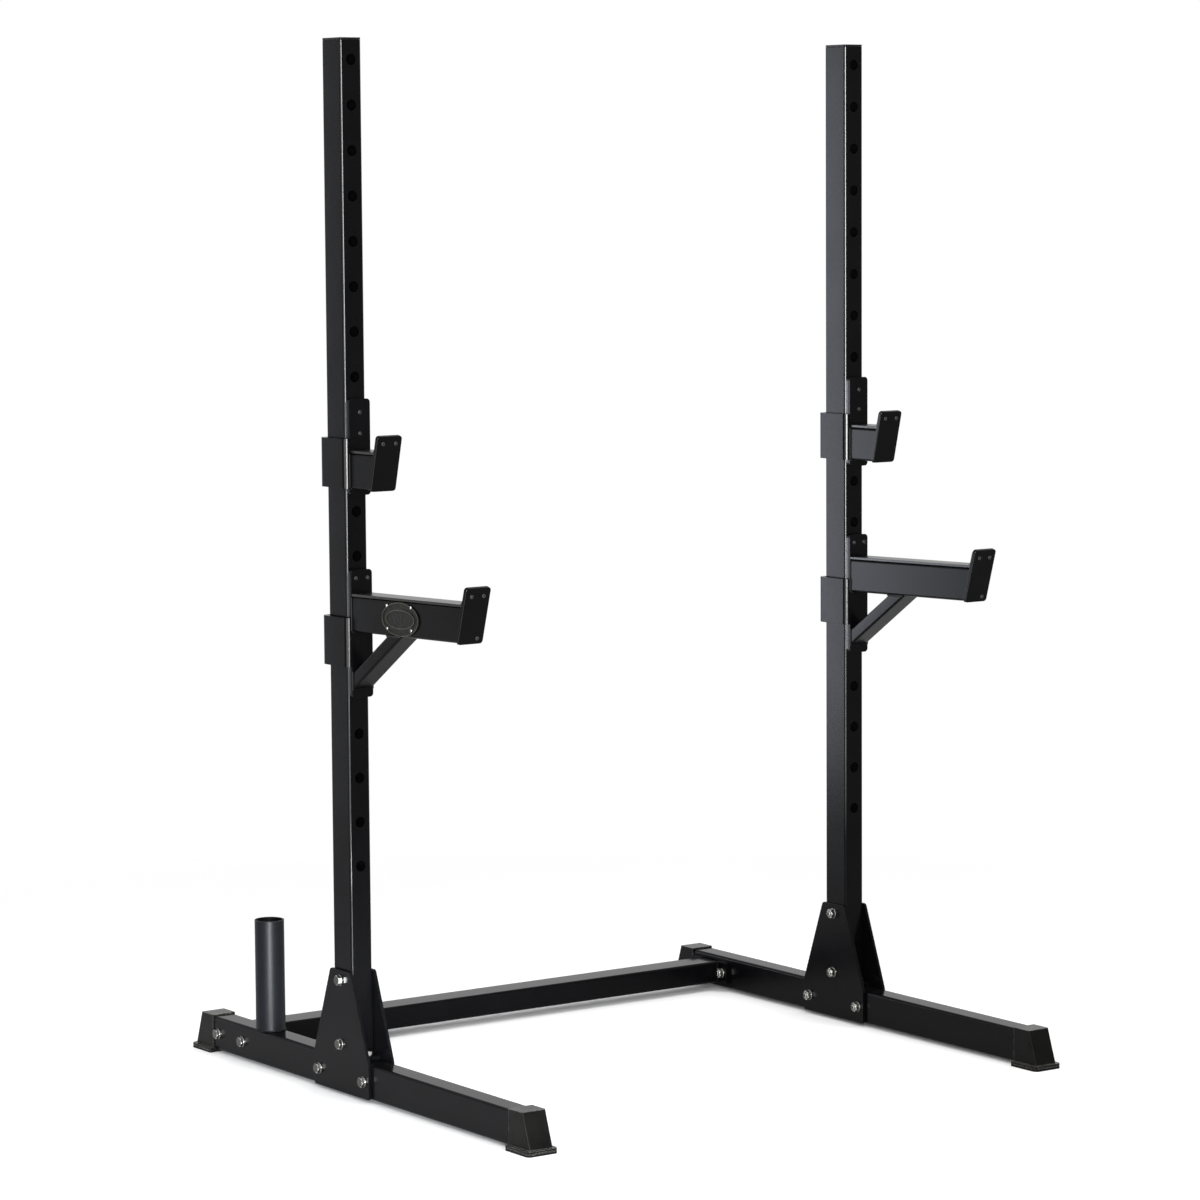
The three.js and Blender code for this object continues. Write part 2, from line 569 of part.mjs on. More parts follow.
function arm(label, side) {
  const group = hookOn(label, 'arm', side, ARM_HOLE_INDEX, ARM_PLATE_RISE, ARM_PLATE_DROP);
  group.add(piece(`${label}_arm_brace`, brace(ARM_TOP_RISE, ARM_PITCH), PAINT));
  const end = slantedEnd(ARM_LENGTH, ARM_LIP_LEAN, ARM_PITCH);
  const reach = reachGroup(ARM_TOP_RISE, ARM_PITCH);
  reach.add(piece(`${label}_arm_tube`, slantedTube(end), PAINT));
  reach.add(lipPlate(`${label}_arm_lip`, end, ARM_LIP_LEAN));
  reach.add(piece(`${label}_arm_wear_strip`, saddleLiner(end, ARM_LIP_LEAN, ARM_PITCH), PLASTIC));
  if (side < 0) reach.add(piece('left_arm_badge', badge(), BADGE_METAL));
  return group.add(reach);
}

const squatStand = new THREE.Group();
for (const [label, side] of [['left', -1], ['right', 1]]) {
  squatStand.add(stand(label, side), cup(label, side), arm(label, side));
}
squatStand.add(piece('cross_member', crossMember(), PAINT, [0, UPRIGHT_Y + CROSS_Y, FOOT_MIDDLE]));
squatStand.add(piece('storage_tube', storageTube(), PAINT,
  [-UPRIGHT_SPACING / 2, UPRIGHT_Y + STORAGE_SETBACK, FOOT_TOP + SEAT_GAP]));

export default squatStand;
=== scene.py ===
"""Looks of the squat stand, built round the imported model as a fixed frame.

Lengths are in metres in the model's own frame: +Z is up, and the cups and arms reach towards -Y.
"""

import logging
import math
from collections.abc import Callable, Iterable, Iterator
from contextlib import contextmanager
from dataclasses import dataclass, field, replace
from enum import Enum
from typing import Any

import bmesh
import bpy
from mathutils import Matrix, Vector


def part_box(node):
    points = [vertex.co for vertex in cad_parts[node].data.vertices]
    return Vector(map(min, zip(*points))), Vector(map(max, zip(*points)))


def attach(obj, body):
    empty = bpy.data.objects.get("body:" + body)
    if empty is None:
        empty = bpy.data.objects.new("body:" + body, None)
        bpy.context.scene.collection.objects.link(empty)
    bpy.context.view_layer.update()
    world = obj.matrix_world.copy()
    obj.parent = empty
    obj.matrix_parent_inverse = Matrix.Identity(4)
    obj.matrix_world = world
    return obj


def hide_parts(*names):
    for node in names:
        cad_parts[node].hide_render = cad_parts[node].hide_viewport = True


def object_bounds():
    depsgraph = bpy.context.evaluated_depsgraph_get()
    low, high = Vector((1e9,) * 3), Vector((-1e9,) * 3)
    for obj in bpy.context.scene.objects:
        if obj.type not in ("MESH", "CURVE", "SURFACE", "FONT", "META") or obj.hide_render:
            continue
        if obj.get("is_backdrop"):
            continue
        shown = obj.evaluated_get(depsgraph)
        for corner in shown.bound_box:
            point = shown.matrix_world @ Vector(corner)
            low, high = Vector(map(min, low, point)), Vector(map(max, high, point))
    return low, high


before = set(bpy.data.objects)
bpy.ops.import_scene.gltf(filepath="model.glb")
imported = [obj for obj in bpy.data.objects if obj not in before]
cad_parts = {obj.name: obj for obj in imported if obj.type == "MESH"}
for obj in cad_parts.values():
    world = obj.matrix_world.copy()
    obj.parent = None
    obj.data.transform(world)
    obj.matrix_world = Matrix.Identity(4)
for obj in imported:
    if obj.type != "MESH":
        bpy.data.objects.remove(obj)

LOG = logging.getLogger("squat_stand")

Piece = bpy.types.Object
Place = Iterable[float]
Point = tuple[float, float, float]
Spots = tuple[tuple[float, float], ...]
Test = Callable[[Any], bool]
Settings = dict[str, Any] | None
Sockets = dict[str | int, Any] | None

# Two places closer than this are one, and a cutting tool stands this far past what it cuts.
TOUCH = 1e-5
PAST = 0.01
SMOOTH_ANGLE = math.radians(40)

# The widths of the softened edges.
CAP_EDGE = 0.0011
LIP_EDGE = 0.0010
SOFT_EDGE = 0.0009
FLANGE_EDGE = 0.0008
RIM_EDGE = 0.0007
HOLE_EDGE = 0.0006
FINE_EDGE = 0.0003


class Element(Enum):
    """The kind of mesh element that is picked in edit mode."""

    EDGE = "EDGE"
    FACE = "FACE"


class Combine(Enum):
    """How two solids become one."""

    CUT = "DIFFERENCE"
    JOIN = "UNION"
    KEEP = "INTERSECT"


class Axis(Enum):
    """An axis of the frame, by its place in a coordinate."""

    X = 0
    Y = 1
    Z = 2


class Side(Enum):
    """A side of the stand, with the sign of its X."""

    LEFT = -1
    RIGHT = 1

    @property
    def label(self) -> str:
        """The name that the CAD nodes of this side start with."""
        return self.name.lower()


# Shader expressions


class Tree:
    """The nodes of one material or world."""

    def __init__(self, owner: bpy.types.Material | bpy.types.World) -> None:
        """Empties the node tree of its owner.

        Args:
            owner: The material or world whose nodes are built.
        """
        owner.use_nodes = True
        self.links = owner.node_tree.links
        self.nodes = owner.node_tree.nodes
        self.nodes.clear()

    def node(self, kind: str, settings: Settings = None, sockets: Sockets = None) -> bpy.types.Node:
        """Adds one node.

        Args:
            kind: The node's type.
            settings: Its properties, which are set first.
            sockets: Values or signals for its inputs, by name or by number.

        Returns:
            The new node.
        """
        made = self.nodes.new(kind)
        for name, value in (settings or {}).items():
            setattr(made, name, value)
        for name, value in (sockets or {}).items():
            if isinstance(value, Signal):
                self.links.new(value.socket, made.inputs[name])
            else:
                made.inputs[name].default_value = value
        return made

    def signal(
        self, kind: str, output: str | int, settings: Settings = None, sockets: Sockets = None
    ) -> "Signal":
        """Adds one node and gives the output of that name or number."""
        return Signal(self, self.node(kind, settings, sockets).outputs[output])

    def mix(self, share: "Signal", first: Any, second: Any) -> "Signal":
        """Mixes two colours, of which the share tells how much of the second shows."""
        settings = {"data_type": "RGBA", "clamp_factor": True}
        return self.signal("ShaderNodeMix", 2, settings, {0: share, 6: first, 7: second})

    def surface(self, kind: str, axis: Axis) -> "Signal":
        """Gives the surface's Object place or its Normal along one axis."""
        vector = self.signal("ShaderNodeTexCoord", kind)
        return self.signal("ShaderNodeSeparateXYZ", axis.name, None, {0: vector})


class Signal:
    """A node's output, used as a number in Python expressions."""

    def __init__(self, tree: Tree, socket: bpy.types.NodeSocket) -> None:
        """Wraps an output, whose new Math nodes go into the tree."""
        self.tree = tree
        self.socket = socket

    def _math(self, operation: str, first: Any, second: Any) -> "Signal":
        """Adds a Math node on two operands."""
        settings = {"operation": operation}
        return self.tree.signal("ShaderNodeMath", 0, settings, {0: first, 1: second})

    def __add__(self, other: Any) -> "Signal":
        """Sum."""
        return self._math("ADD", self, other)

    def __sub__(self, other: Any) -> "Signal":
        """Difference."""
        return self._math("SUBTRACT", self, other)

    def __rsub__(self, other: Any) -> "Signal":
        """Difference from a number on the left."""
        return self._math("SUBTRACT", other, self)

    def __mul__(self, other: Any) -> "Signal":
        """Product."""
        return self._math("MULTIPLY", self, other)

    def span(self, low: float, high: float) -> "Signal":
        """Stretches the part between two values to 0 and 1, and clamps the rest."""
        sockets = {"Value": self, "From Min": low, "From Max": high}
        return self.tree.signal("ShaderNodeMapRange", 0, {"clamp": True}, sockets)


# Finishes

# The values between which each mask goes from 0 to 1.
FLECK_RANGE = (0.42, 0.62)
DUST_AND_TOP_LIGHT_RANGE = (0.35, 0.7)
TONE_RANGE = (0.35, 0.65)
EDGE_RANGE = (0.02, 0.25)
UPWARD_RANGE = (0.8, 1.0)
END_RANGE = (0.7, 0.95)
CORNER_RANGE = (0.15, 0.22)
POLISHED_HEIGHTS = (0.37, 0.55)

LOW_POLISH = 0.06
# The share of the colour that the darkened end faces keep, a painted shade.
END_SHADE_TONE = 0.11
FLECKS_PER_PATCH = 12
NOISE_ROUGHNESS = 0.55
WORN_ROUGHNESS = 0.15
COAT_IOR = 1.85
# The light grey of the dusting on upward faces, which also serves as painted light on the tops.
DUST_AND_TOP_LIGHT_COLOUR = (0.16, 0.16, 0.155, 1.0)
UPRIGHT_MIDDLE = (0.585, 0.035)
BARE_HALF_WIDTH = 0.021
BARE_HALF_DEPTHS = (0.031, 0.032)


@dataclass(frozen=True)
class Finish:
    """A procedural surface finish, in the colours and grain of one material of the stand."""

    slot: str
    name: str
    colour: Point
    worn_colour: Point
    roughness: float
    specular: float = 0.5
    metallic: float = 0.0
    grain_size: float = 0.0015
    grain_depth: float = 0.00005
    patch_size: float = 0.09
    patch_strength: float = 0.25
    roughness_spread: float = 0.10
    edge_wear: float = 0.5
    edge_width: float = 0.0012
    # How much grey dusting the upward faces get; it also paints them lighter, as painted light from
    # above.
    dust: float = 0.0
    gloss: float = 0.0
    corner_gloss: float = 0.0
    gloss_roughness: float = 0.20
    top_polish: float = 0.0
    end_dullness: float = 0.0
    bore_roughness: float = 0.0
    streak: Point = (1.0, 1.0, 1.0)

    def build(self) -> bpy.types.Material:
        """Builds the finish as a node material.

        Returns:
            The material.
        """
        material = bpy.data.materials.new(self.name)
        tree = Tree(material)
        place = tree.signal("ShaderNodeTexCoord", "Object")
        stretch = {"Vector": place, "Scale": self.streak}
        stretched = tree.signal("ShaderNodeMapping", 0, {"vector_type": "POINT"}, stretch)
        grain = self._noise(tree, place, self.grain_size, 3.0)
        patches = self._noise(tree, place, self.patch_size, 5.0)
        flecks = self._noise(tree, stretched, self.patch_size / FLECKS_PER_PATCH, 6.0)
        wear = self._edges(tree) * flecks.span(*FLECK_RANGE) * self.edge_wear
        bump = {"Strength": 1.0, "Distance": self.grain_depth, "Height": grain + flecks * 0.35}
        shine = {
            "Base Color": self._colour(tree, patches, flecks, wear),
            "Roughness": self._roughness(tree, patches, flecks, wear),
            "Metallic": self.metallic,
            "Specular IOR Level": self.specular,
            "Coat Weight": self.gloss,
            "Coat Roughness": self.gloss_roughness,
            "Coat IOR": COAT_IOR,
            "Normal": tree.signal("ShaderNodeBump", "Normal", None, bump),
        }
        if self.corner_gloss > 0:
            shine["Coat Weight"] = self._corners(tree) * self.corner_gloss + self.gloss
        shader = tree.signal("ShaderNodeBsdfPrincipled", "BSDF", None, shine)
        tree.node("ShaderNodeOutputMaterial", None, {"Surface": shader})
        return material

    def _tone(self, strength: float) -> tuple[float, ...]:
        """Gives the colour at another strength."""
        return (*(part * strength for part in self.colour), 1.0)

    def _colour(self, tree: Tree, patches: Signal, flecks: Signal, wear: Signal) -> Signal:
        """Mixes a darker and a lighter tone in soft patches, darkens the end faces as painted
        shade, and adds wear and a grey dusting that also paints the upward faces lighter as painted
        light.
        """
        share = (patches * 0.7 + flecks * 0.3).span(*TONE_RANGE)
        dark, light = self._tone(1 - self.patch_strength), self._tone(1 + self.patch_strength)
        colour = tree.mix(share, dark, light)
        # Painted shade: the faces that look along X, such as bolt and nut ends, are darkened to a
        # far darker tone of the colour.
        if self.end_dullness > 0:
            across = tree.surface("Normal", Axis.X)
            ends = (across * across).span(*END_RANGE) * self.end_dullness
            colour = tree.mix(ends, colour, self._tone(END_SHADE_TONE))
        colour = tree.mix(wear, colour, (*self.worn_colour, 1.0))
        # Painted light from above: the upward faces are mixed towards a light grey in patches, for
        # a dusting and for the light that falls on the tops.
        if self.dust > 0:
            dusty_lit_tops = self._tops(tree) * patches.span(*DUST_AND_TOP_LIGHT_RANGE) * self.dust
            colour = tree.mix(dusty_lit_tops, colour, DUST_AND_TOP_LIGHT_COLOUR)
        return colour

    def _roughness(self, tree: Tree, patches: Signal, flecks: Signal, wear: Signal) -> Signal:
        """Varies the roughness with the patterns, the wear and the place."""
        rough = (patches + flecks - 1.0) * self.roughness_spread + self.roughness
        rough = rough + wear * WORN_ROUGHNESS
        if self.top_polish > 0:
            rough = rough - self._tops(tree) * self.top_polish
        if self.bore_roughness > 0:
            rough = rough + self._inside_uprights(tree) * self.bore_roughness
        return rough

    def _edges(self, tree: Tree) -> Signal:
        """Marks the surface close to its sharp edges."""
        samples, dot = {"samples": 4}, {"operation": "DOT_PRODUCT"}
        rounded = tree.signal("ShaderNodeBevel", "Normal", samples, {"Radius": self.edge_width})
        true = tree.signal("ShaderNodeNewGeometry", "Normal")
        same = tree.signal("ShaderNodeVectorMath", "Value", dot, {0: rounded, 1: true})
        return (1.0 - same).span(*EDGE_RANGE)

    @staticmethod
    def _tops(tree: Tree) -> Signal:
        """Marks the faces that look up."""
        return tree.surface("Normal", Axis.Z).span(*UPWARD_RANGE)

    @staticmethod
    def _inside_uprights(tree: Tree) -> Signal:
        """Marks the bare inside of the two uprights' tubes."""
        x = tree.surface("Object", Axis.X)
        y = tree.surface("Object", Axis.Y) - UPRIGHT_MIDDLE[1]
        offset = x * x - UPRIGHT_MIDDLE[0] ** 2
        reach = 2 * UPRIGHT_MIDDLE[0] * BARE_HALF_WIDTH
        inner, outer = BARE_HALF_DEPTHS
        within_x = 1.0 - (offset * offset).span(reach**2, (reach * 1.05) ** 2)
        return within_x * (1.0 - (y * y).span(inner**2, outer**2))

    @staticmethod
    def _corners(tree: Tree) -> Signal:
        """Marks the rounded corners that run upwards, less so near the floor.

        Hands and pads polish them, and no hand reaches them down there.
        """
        product = tree.surface("Normal", Axis.X) * tree.surface("Normal", Axis.Y)
        height = tree.surface("Object", Axis.Z).span(*POLISHED_HEIGHTS)
        return (product * product).span(*CORNER_RANGE) * (height * (1 - LOW_POLISH) + LOW_POLISH)

    @staticmethod
    def _noise(tree: Tree, place: Signal, size: float, detail: float) -> Signal:
        """Noise whose features have about the given size."""
        sockets = {"Vector": place, "Scale": 1 / size, "Detail": detail}
        sockets["Roughness"] = NOISE_ROUGHNESS
        return tree.signal("ShaderNodeTexNoise", 0, None, sockets)


POWDER_COAT = Finish(
    slot="powder_coat",
    name="powder_coat",
    colour=(0.0022, 0.0022, 0.0026),
    worn_colour=(0.020, 0.020, 0.021),
    roughness=0.23,
    specular=0.05,
    grain_depth=0.000004,
    roughness_spread=0.07,
    dust=0.02,
    corner_gloss=1.0,
    top_polish=0.09,
    bore_roughness=0.7,
)
# A glossier copy of the powder coat for the round storage tube. Its bluer and lighter colour is
# painted light, standing for the bluish sheen on the tube; the gloss is the coat's own.
ROUND_COAT = replace(
    POWDER_COAT,
    name="round_coat",
    colour=(0.0024, 0.0028, 0.0040),
    roughness=0.30,
    specular=0.03,
    gloss=0.095,
    corner_gloss=0.0,
    gloss_roughness=0.47,
)
LINER_PLASTIC = Finish(
    slot="liner_plastic",
    name="liner_plastic",
    colour=(0.004, 0.004, 0.0043),
    worn_colour=(0.03, 0.03, 0.03),
    roughness=0.30,
    specular=0.22,
    grain_size=0.0007,
    grain_depth=0.000004,
    edge_wear=0.35,
    streak=(1.0, 0.12, 1.0),
)
CAP_PLASTIC = Finish(
    slot="cap_plastic",
    name="cap_plastic",
    colour=(0.004, 0.004, 0.004),
    worn_colour=(0.03, 0.03, 0.03),
    roughness=0.42,
    specular=0.15,
    grain_size=0.0009,
    grain_depth=0.00001,
    edge_wear=0.3,
)
BOOT_RUBBER = Finish(
    slot="boot_rubber",
    name="boot_rubber",
    colour=(0.0038, 0.0037, 0.0034),
    worn_colour=(0.16, 0.156, 0.138),
    roughness=0.30,
    specular=0.05,
    grain_size=0.0012,
    grain_depth=0.00001,
    patch_size=0.03,
    patch_strength=0.4,
    edge_wear=1.1,
    edge_width=0.0022,
    # The boot's tops get a strong grey dusting that also paints them lighter, as painted light from
    # above.
    dust=0.45,
    top_polish=0.15,
)
ZINC = Finish(
    slot="zinc",
    name="zinc",
    colour=(0.60, 0.60, 0.57),
    worn_colour=(0.75, 0.74, 0.69),
    roughness=0.24,
    metallic=1.0,
    grain_size=0.0006,
    grain_depth=0.00002,
    patch_size=0.012,
    patch_strength=0.2,
    edge_wear=0.6,
    edge_width=0.0006,
    # The zinc's end faces are darkened as painted shade.
    end_dullness=1.0,
)
SCREW_BLACK = Finish(
    slot="powder_coat",
    name="screw_black",
    colour=(0.010, 0.010, 0.010),
    worn_colour=(0.20, 0.20, 0.19),
    roughness=0.30,
    grain_size=0.0005,
    grain_depth=0.00001,
    patch_size=0.006,
    edge_wear=0.7,
    edge_width=0.0006,
)
BADGE_METAL = Finish(
    slot="badge_metal",
    name="badge_metal",
    colour=(0.0050, 0.0048, 0.0034),
    worn_colour=(0.10, 0.095, 0.07),
    roughness=0.42,
    specular=0.12,
    grain_size=0.007,
    grain_depth=0.0012,
    patch_size=0.018,
    patch_strength=0.5,
    edge_wear=0.8,
    edge_width=0.0014,
)
BADGE_RIM = Finish(
    slot="badge_metal",
    name="badge_rim",
    colour=(0.045, 0.043, 0.032),
    worn_colour=(0.16, 0.155, 0.12),
    roughness=0.35,
    metallic=0.7,
    grain_size=0.003,
    grain_depth=0.0001,
    patch_size=0.012,
    patch_strength=0.5,
    edge_wear=0.7,
    edge_width=0.0006,
)
FINISHES = (
    POWDER_COAT, ROUND_COAT, SCREW_BLACK, LINER_PLASTIC, CAP_PLASTIC, BOOT_RUBBER, ZINC,
    BADGE_METAL, BADGE_RIM,
)
Made = list[tuple[Piece, Finish, str]]


# Modelling


def along(axis: Axis) -> Test:
    """Tests for the edges that run along an axis."""
    def test(edge: Any) -> bool:
        run = (edge.verts[1].co - edge.verts[0].co).normalized()
        return abs(run[axis.value]) > 0.999

    return test


def at(axis: Axis, place: float, run: Axis | None = None) -> Test:
    """Tests for the edges that lie at one place on an axis.

    Args:
        axis: The axis.
        place: Where on it both ends of the edge lie.
        run: The axis that the edge runs along, where that matters.

    Returns:
        The test.
    """
    def test(edge: Any) -> bool:
        there = all(abs(vert.co[axis.value] - place) < TOUCH for vert in edge.verts)
        return there and (run is None or along(run)(edge))

    return test


def facing(direction: Point) -> Test:
    """Tests for the faces that look in a direction of length 1."""
    return lambda face: face.normal.dot(Vector(direction)) > 0.99


def every(part: Any) -> bool:
    """Passes every edge or face."""
    return True


class Bench:
    """Blender's operators on one piece at a time, with everything else deselected."""

    def grip(self, piece: Piece) -> None:
        """Makes the piece the only one that is selected and active."""
        bpy.ops.object.select_all(action="DESELECT")
        piece.select_set(True)
        bpy.context.view_layer.objects.active = piece

    def add(self, operator: Callable[..., Any], **settings: Any) -> Piece:
        """Adds a primitive with nothing else selected."""
        bpy.ops.object.select_all(action="DESELECT")
        operator(**settings)
        return bpy.context.active_object

    def settle(self, piece: Piece) -> Piece:
        """Writes the object's place, turn and scale into its mesh."""
        self.grip(piece)
        bpy.ops.object.transform_apply(location=True, rotation=True, scale=True)
        return piece

    def place(self, piece: Piece, matrix: Matrix) -> Piece:
        """Moves and turns a piece whose object is at the origin, and settles it."""
        piece.matrix_world = matrix
        return self.settle(piece)

    def block(self, low: Place, high: Place) -> Piece:
        """Adds a block between its lowest and its highest corner."""
        low, high = Vector(low), Vector(high)
        piece = self.add(bpy.ops.mesh.primitive_cube_add, size=1.0, location=(low + high) / 2)
        piece.scale = high - low
        return self.settle(piece)

    def round_bar(
        self, axis: Axis, radius: float, start: Place, length: float, sides: int
    ) -> Piece:
        """Adds a round or many-sided bar.

        Args:
            axis: The axis that it runs along.
            radius: Its radius, to its corners.
            start: The middle of its first end.
            length: Its length from there, along the axis.
            sides: How many sides it has.

        Returns:
            The bar, with its object at the origin.
        """
        step = Vector([length if index == axis.value else 0.0 for index in range(3)])
        turns = {Axis.X: (0, math.pi / 2, 0), Axis.Y: (math.pi / 2, 0, 0), Axis.Z: (0, 0, 0)}
        piece = self.add(
            bpy.ops.mesh.primitive_cylinder_add,
            vertices=sides,
            radius=radius,
            depth=abs(length),
            location=Vector(start) + step / 2,
            rotation=turns[axis],
        )
        return self.settle(piece)

    @contextmanager
    def edit(self, piece: Piece, element: Element, test: Test) -> Iterator[None]:
        """Opens a piece in edit mode with only the edges or faces selected that pass a test.

        Args:
            piece: The piece to edit, which is back in object mode afterwards.
            element: What is picked.
            test: Says whether one of them is picked.
        """
        self.grip(piece)
        bpy.ops.object.mode_set(mode="EDIT")
        bpy.ops.mesh.select_mode(type=element.value)
        bpy.ops.mesh.select_all(action="DESELECT")
        mesh = bmesh.from_edit_mesh(piece.data)
        for part in mesh.edges if element is Element.EDGE else mesh.faces:
            if test(part):
                part.select_set(True)
        bmesh.update_edit_mesh(piece.data)
        yield
        bpy.ops.object.mode_set(mode="OBJECT")

    def round_off(self, piece: Piece, test: Test, radius: float, segments: int) -> None:
        """Rounds the picked edges with that many facets."""
        with self.edit(piece, Element.EDGE, test):
            bpy.ops.mesh.bevel(offset=radius, segments=segments, profile=0.5, affect="EDGES")

    def slice(self, piece: Piece, point: Place, normal: Place) -> None:
        """Cuts off what lies past a plane, on its normal's side, and closes the cut."""
        plane = {"plane_co": Vector(point), "plane_no": Vector(normal)}
        with self.edit(piece, Element.FACE, every):
            bpy.ops.mesh.bisect(**plane, use_fill=True, clear_outer=True)

    def sink(self, piece: Piece, direction: Point, *steps: tuple[float, float]) -> None:
        """Insets the faces that look in a direction and moves them in or out, once or more.

        Args:
            piece: The piece to edit.
            direction: Where the faces look.
            steps: For each step the width of the rim that stays and how far the rest goes in;
                a negative depth raises it.
        """
        with self.edit(piece, Element.FACE, facing(direction)):
            for rim, depth in steps:
                bpy.ops.mesh.inset(thickness=rim, depth=0.0)
                move = Vector(direction) * -depth
                bpy.ops.mesh.extrude_region_move(TRANSFORM_OT_translate={"value": move})

    def bore(self, piece: Piece, axis: Axis, wall: float) -> None:
        """Makes a tube of a bar: insets both ends by the wall and bridges them."""
        with self.edit(piece, Element.FACE, lambda face: abs(face.normal[axis.value]) > 0.99):
            bpy.ops.mesh.inset(thickness=wall, depth=0.0, use_individual=True)
            bpy.ops.mesh.bridge_edge_loops()

    def modify(self, piece: Piece, kind: str, **settings: Any) -> None:
        """Gives a piece a modifier and applies it."""
        self.grip(piece)
        modifier = piece.modifiers.new(kind.lower(), kind)
        for name, value in settings.items():
            setattr(modifier, name, value)
        bpy.ops.object.modifier_apply(modifier=modifier.name)

    def combine(self, piece: Piece, tool: Piece, how: Combine) -> None:
        """Combines a tool with the piece and uses it up."""
        self.modify(piece, "BOOLEAN", operation=how.value, solver="EXACT", object=tool)
        bpy.data.objects.remove(tool)

    def repeat(self, piece: Piece, count: int, step: Place) -> None:
        """Repeats the piece's mesh in a row, a step from one to the next."""
        switches = {"use_relative_offset": False, "use_constant_offset": True}
        self.modify(piece, "ARRAY", count=count, **switches, constant_offset_displace=Vector(step))

    def gather(self, parts: list[Piece]) -> Piece:
        """Makes one piece of several."""
        self.grip(parts[0])
        for part in parts:
            part.select_set(True)
        bpy.ops.object.join()
        return parts[0]

    def finish_edges(self, piece: Piece, width: float, segments: int = 2) -> None:
        """Softens the sharp edges and evens the shading.

        Args:
            piece: The piece.
            width: The width of the softened edge; at 0 the edges stay sharp.
            segments: How many facets it has.
        """
        if width > 0:
            edge = {"width": width, "segments": segments}
            self.modify(piece, "BEVEL", **edge, limit_method="ANGLE", angle_limit=SMOOTH_ANGLE)
        self.grip(piece)
        bpy.ops.object.shade_smooth_by_angle(angle=SMOOTH_ANGLE)
        self.modify(piece, "WEIGHTED_NORMAL", keep_sharp=True)

    def copy(self, piece: Piece, matrix: Matrix) -> Piece:
        """Copies a piece with its own mesh to another place."""
        twin = piece.copy()
        twin.data = piece.data.copy()
        bpy.context.scene.collection.objects.link(twin)
        return self.place(twin, matrix)


BENCH = Bench()


@dataclass
class Stockroom:
    """The stand's finishes as materials, and the steps that hand over a finished piece."""

    materials: dict[Finish, bpy.types.Material] = field(default_factory=dict)

    def __post_init__(self) -> None:
        """Builds every finish once."""
        self.materials = {finish: finish.build() for finish in FINISHES}

    def dress(self, piece: Piece, finish: Finish) -> None:
        """Gives a piece or a CAD node one finish."""
        piece.data.materials.clear()
        piece.data.materials.append(self.materials[finish])

    def deliver(self, piece: Piece, name: str, finish: Finish, body: str, node: str = "") -> None:
        """Names and dresses a piece and fixes it to its body.

        Args:
            piece: The finished piece.
            name: Its name.
            finish: Its finish.
            body: The body that it rides on.
            node: The CAD node that it stands for, if any.
        """
        piece.name = piece.data.name = name
        self.dress(piece, finish)
        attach(piece, body)
        if node:
            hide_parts(node)
        LOG.info("%s rides on %s with %s", piece.name, body, finish.name)

    def frame_part(self, piece: Piece, name: str, edge: float, node: str = "") -> None:
        """Softens the edges of a powder coated piece to a width and fixes it to the frame."""
        BENCH.finish_edges(piece, edge)
        self.deliver(piece, name, POWDER_COAT, "frame", node)


STOCK = Stockroom()


@dataclass
class Weld:
    """A ripple weld bead."""

    width: float = 0.0045
    pitch: float = 0.0024
    corner_gap: float = 0.004
    lift: float = 0.0005

    def _ripple(self, centre: Place) -> Piece:
        """Adds one ripple of the bead."""
        ball = {"segments": 10, "ring_count": 6, "radius": self.width / 2, "location": centre}
        return BENCH.settle(BENCH.add(bpy.ops.mesh.primitive_uv_sphere_add, **ball))

    def bead(self, start: Place, end: Place) -> Piece:
        """Adds a straight bead between two points.

        Args:
            start: Where it starts.
            end: Where it ends.

        Returns:
            The bead.
        """
        start, end = Vector(start), Vector(end)
        count = max(2, round((end - start).length / self.pitch))
        bead = self._ripple(start)
        BENCH.repeat(bead, count, (end - start) / (count - 1))
        return bead

    def ring(self, centre: Point, radius: float) -> Piece:
        """Adds a bead round a vertical tube.

        Args:
            centre: The middle of the ring.
            radius: The ring's radius.

        Returns:
            The bead.
        """
        bead = self._ripple((centre[0] + radius, centre[1], centre[2]))
        steps = round(2 * math.pi * radius / self.pitch) - 1
        turn = {"angle": 2 * math.pi * steps / (steps + 1), "axis": (0, 0, 1), "center": centre}
        with BENCH.edit(bead, Element.FACE, every):
            bpy.ops.mesh.spin(steps=steps, **turn, dupli=True)
        return bead

    def frame(self, low: Vector, high: Vector) -> Piece:
        """Adds four beads round a level rectangle.

        Args:
            low: The rectangle's lowest corner.
            high: Its highest corner, at the same height.

        Returns:
            The four beads as one piece.
        """
        corners = [low, Vector((high.x, low.y, low.z)), high, Vector((low.x, high.y, low.z))]
        beads = []
        for corner, other in zip(corners, corners[1:] + corners[:1]):
            run = (other - corner).normalized() * self.corner_gap
            beads.append(self.bead(corner + run, other - run))
        return BENCH.gather(beads)


WELD = Weld()


# Parts of the stand


@dataclass
class RectangularTube:
    """The stand's main tube."""

    wide: float = 0.045
    deep: float = 0.065
    wall: float = 0.003
    corner: float = 0.005
    corner_facets: int = 6

    def bar(self, low: Place, high: Place, axis: Axis) -> Piece:
        """Adds a closed bar with the tube's rounded corners along an axis."""
        piece = BENCH.block(low, high)
        BENCH.round_off(piece, along(axis), self.corner, self.corner_facets)
        return piece


TUBE = RectangularTube()


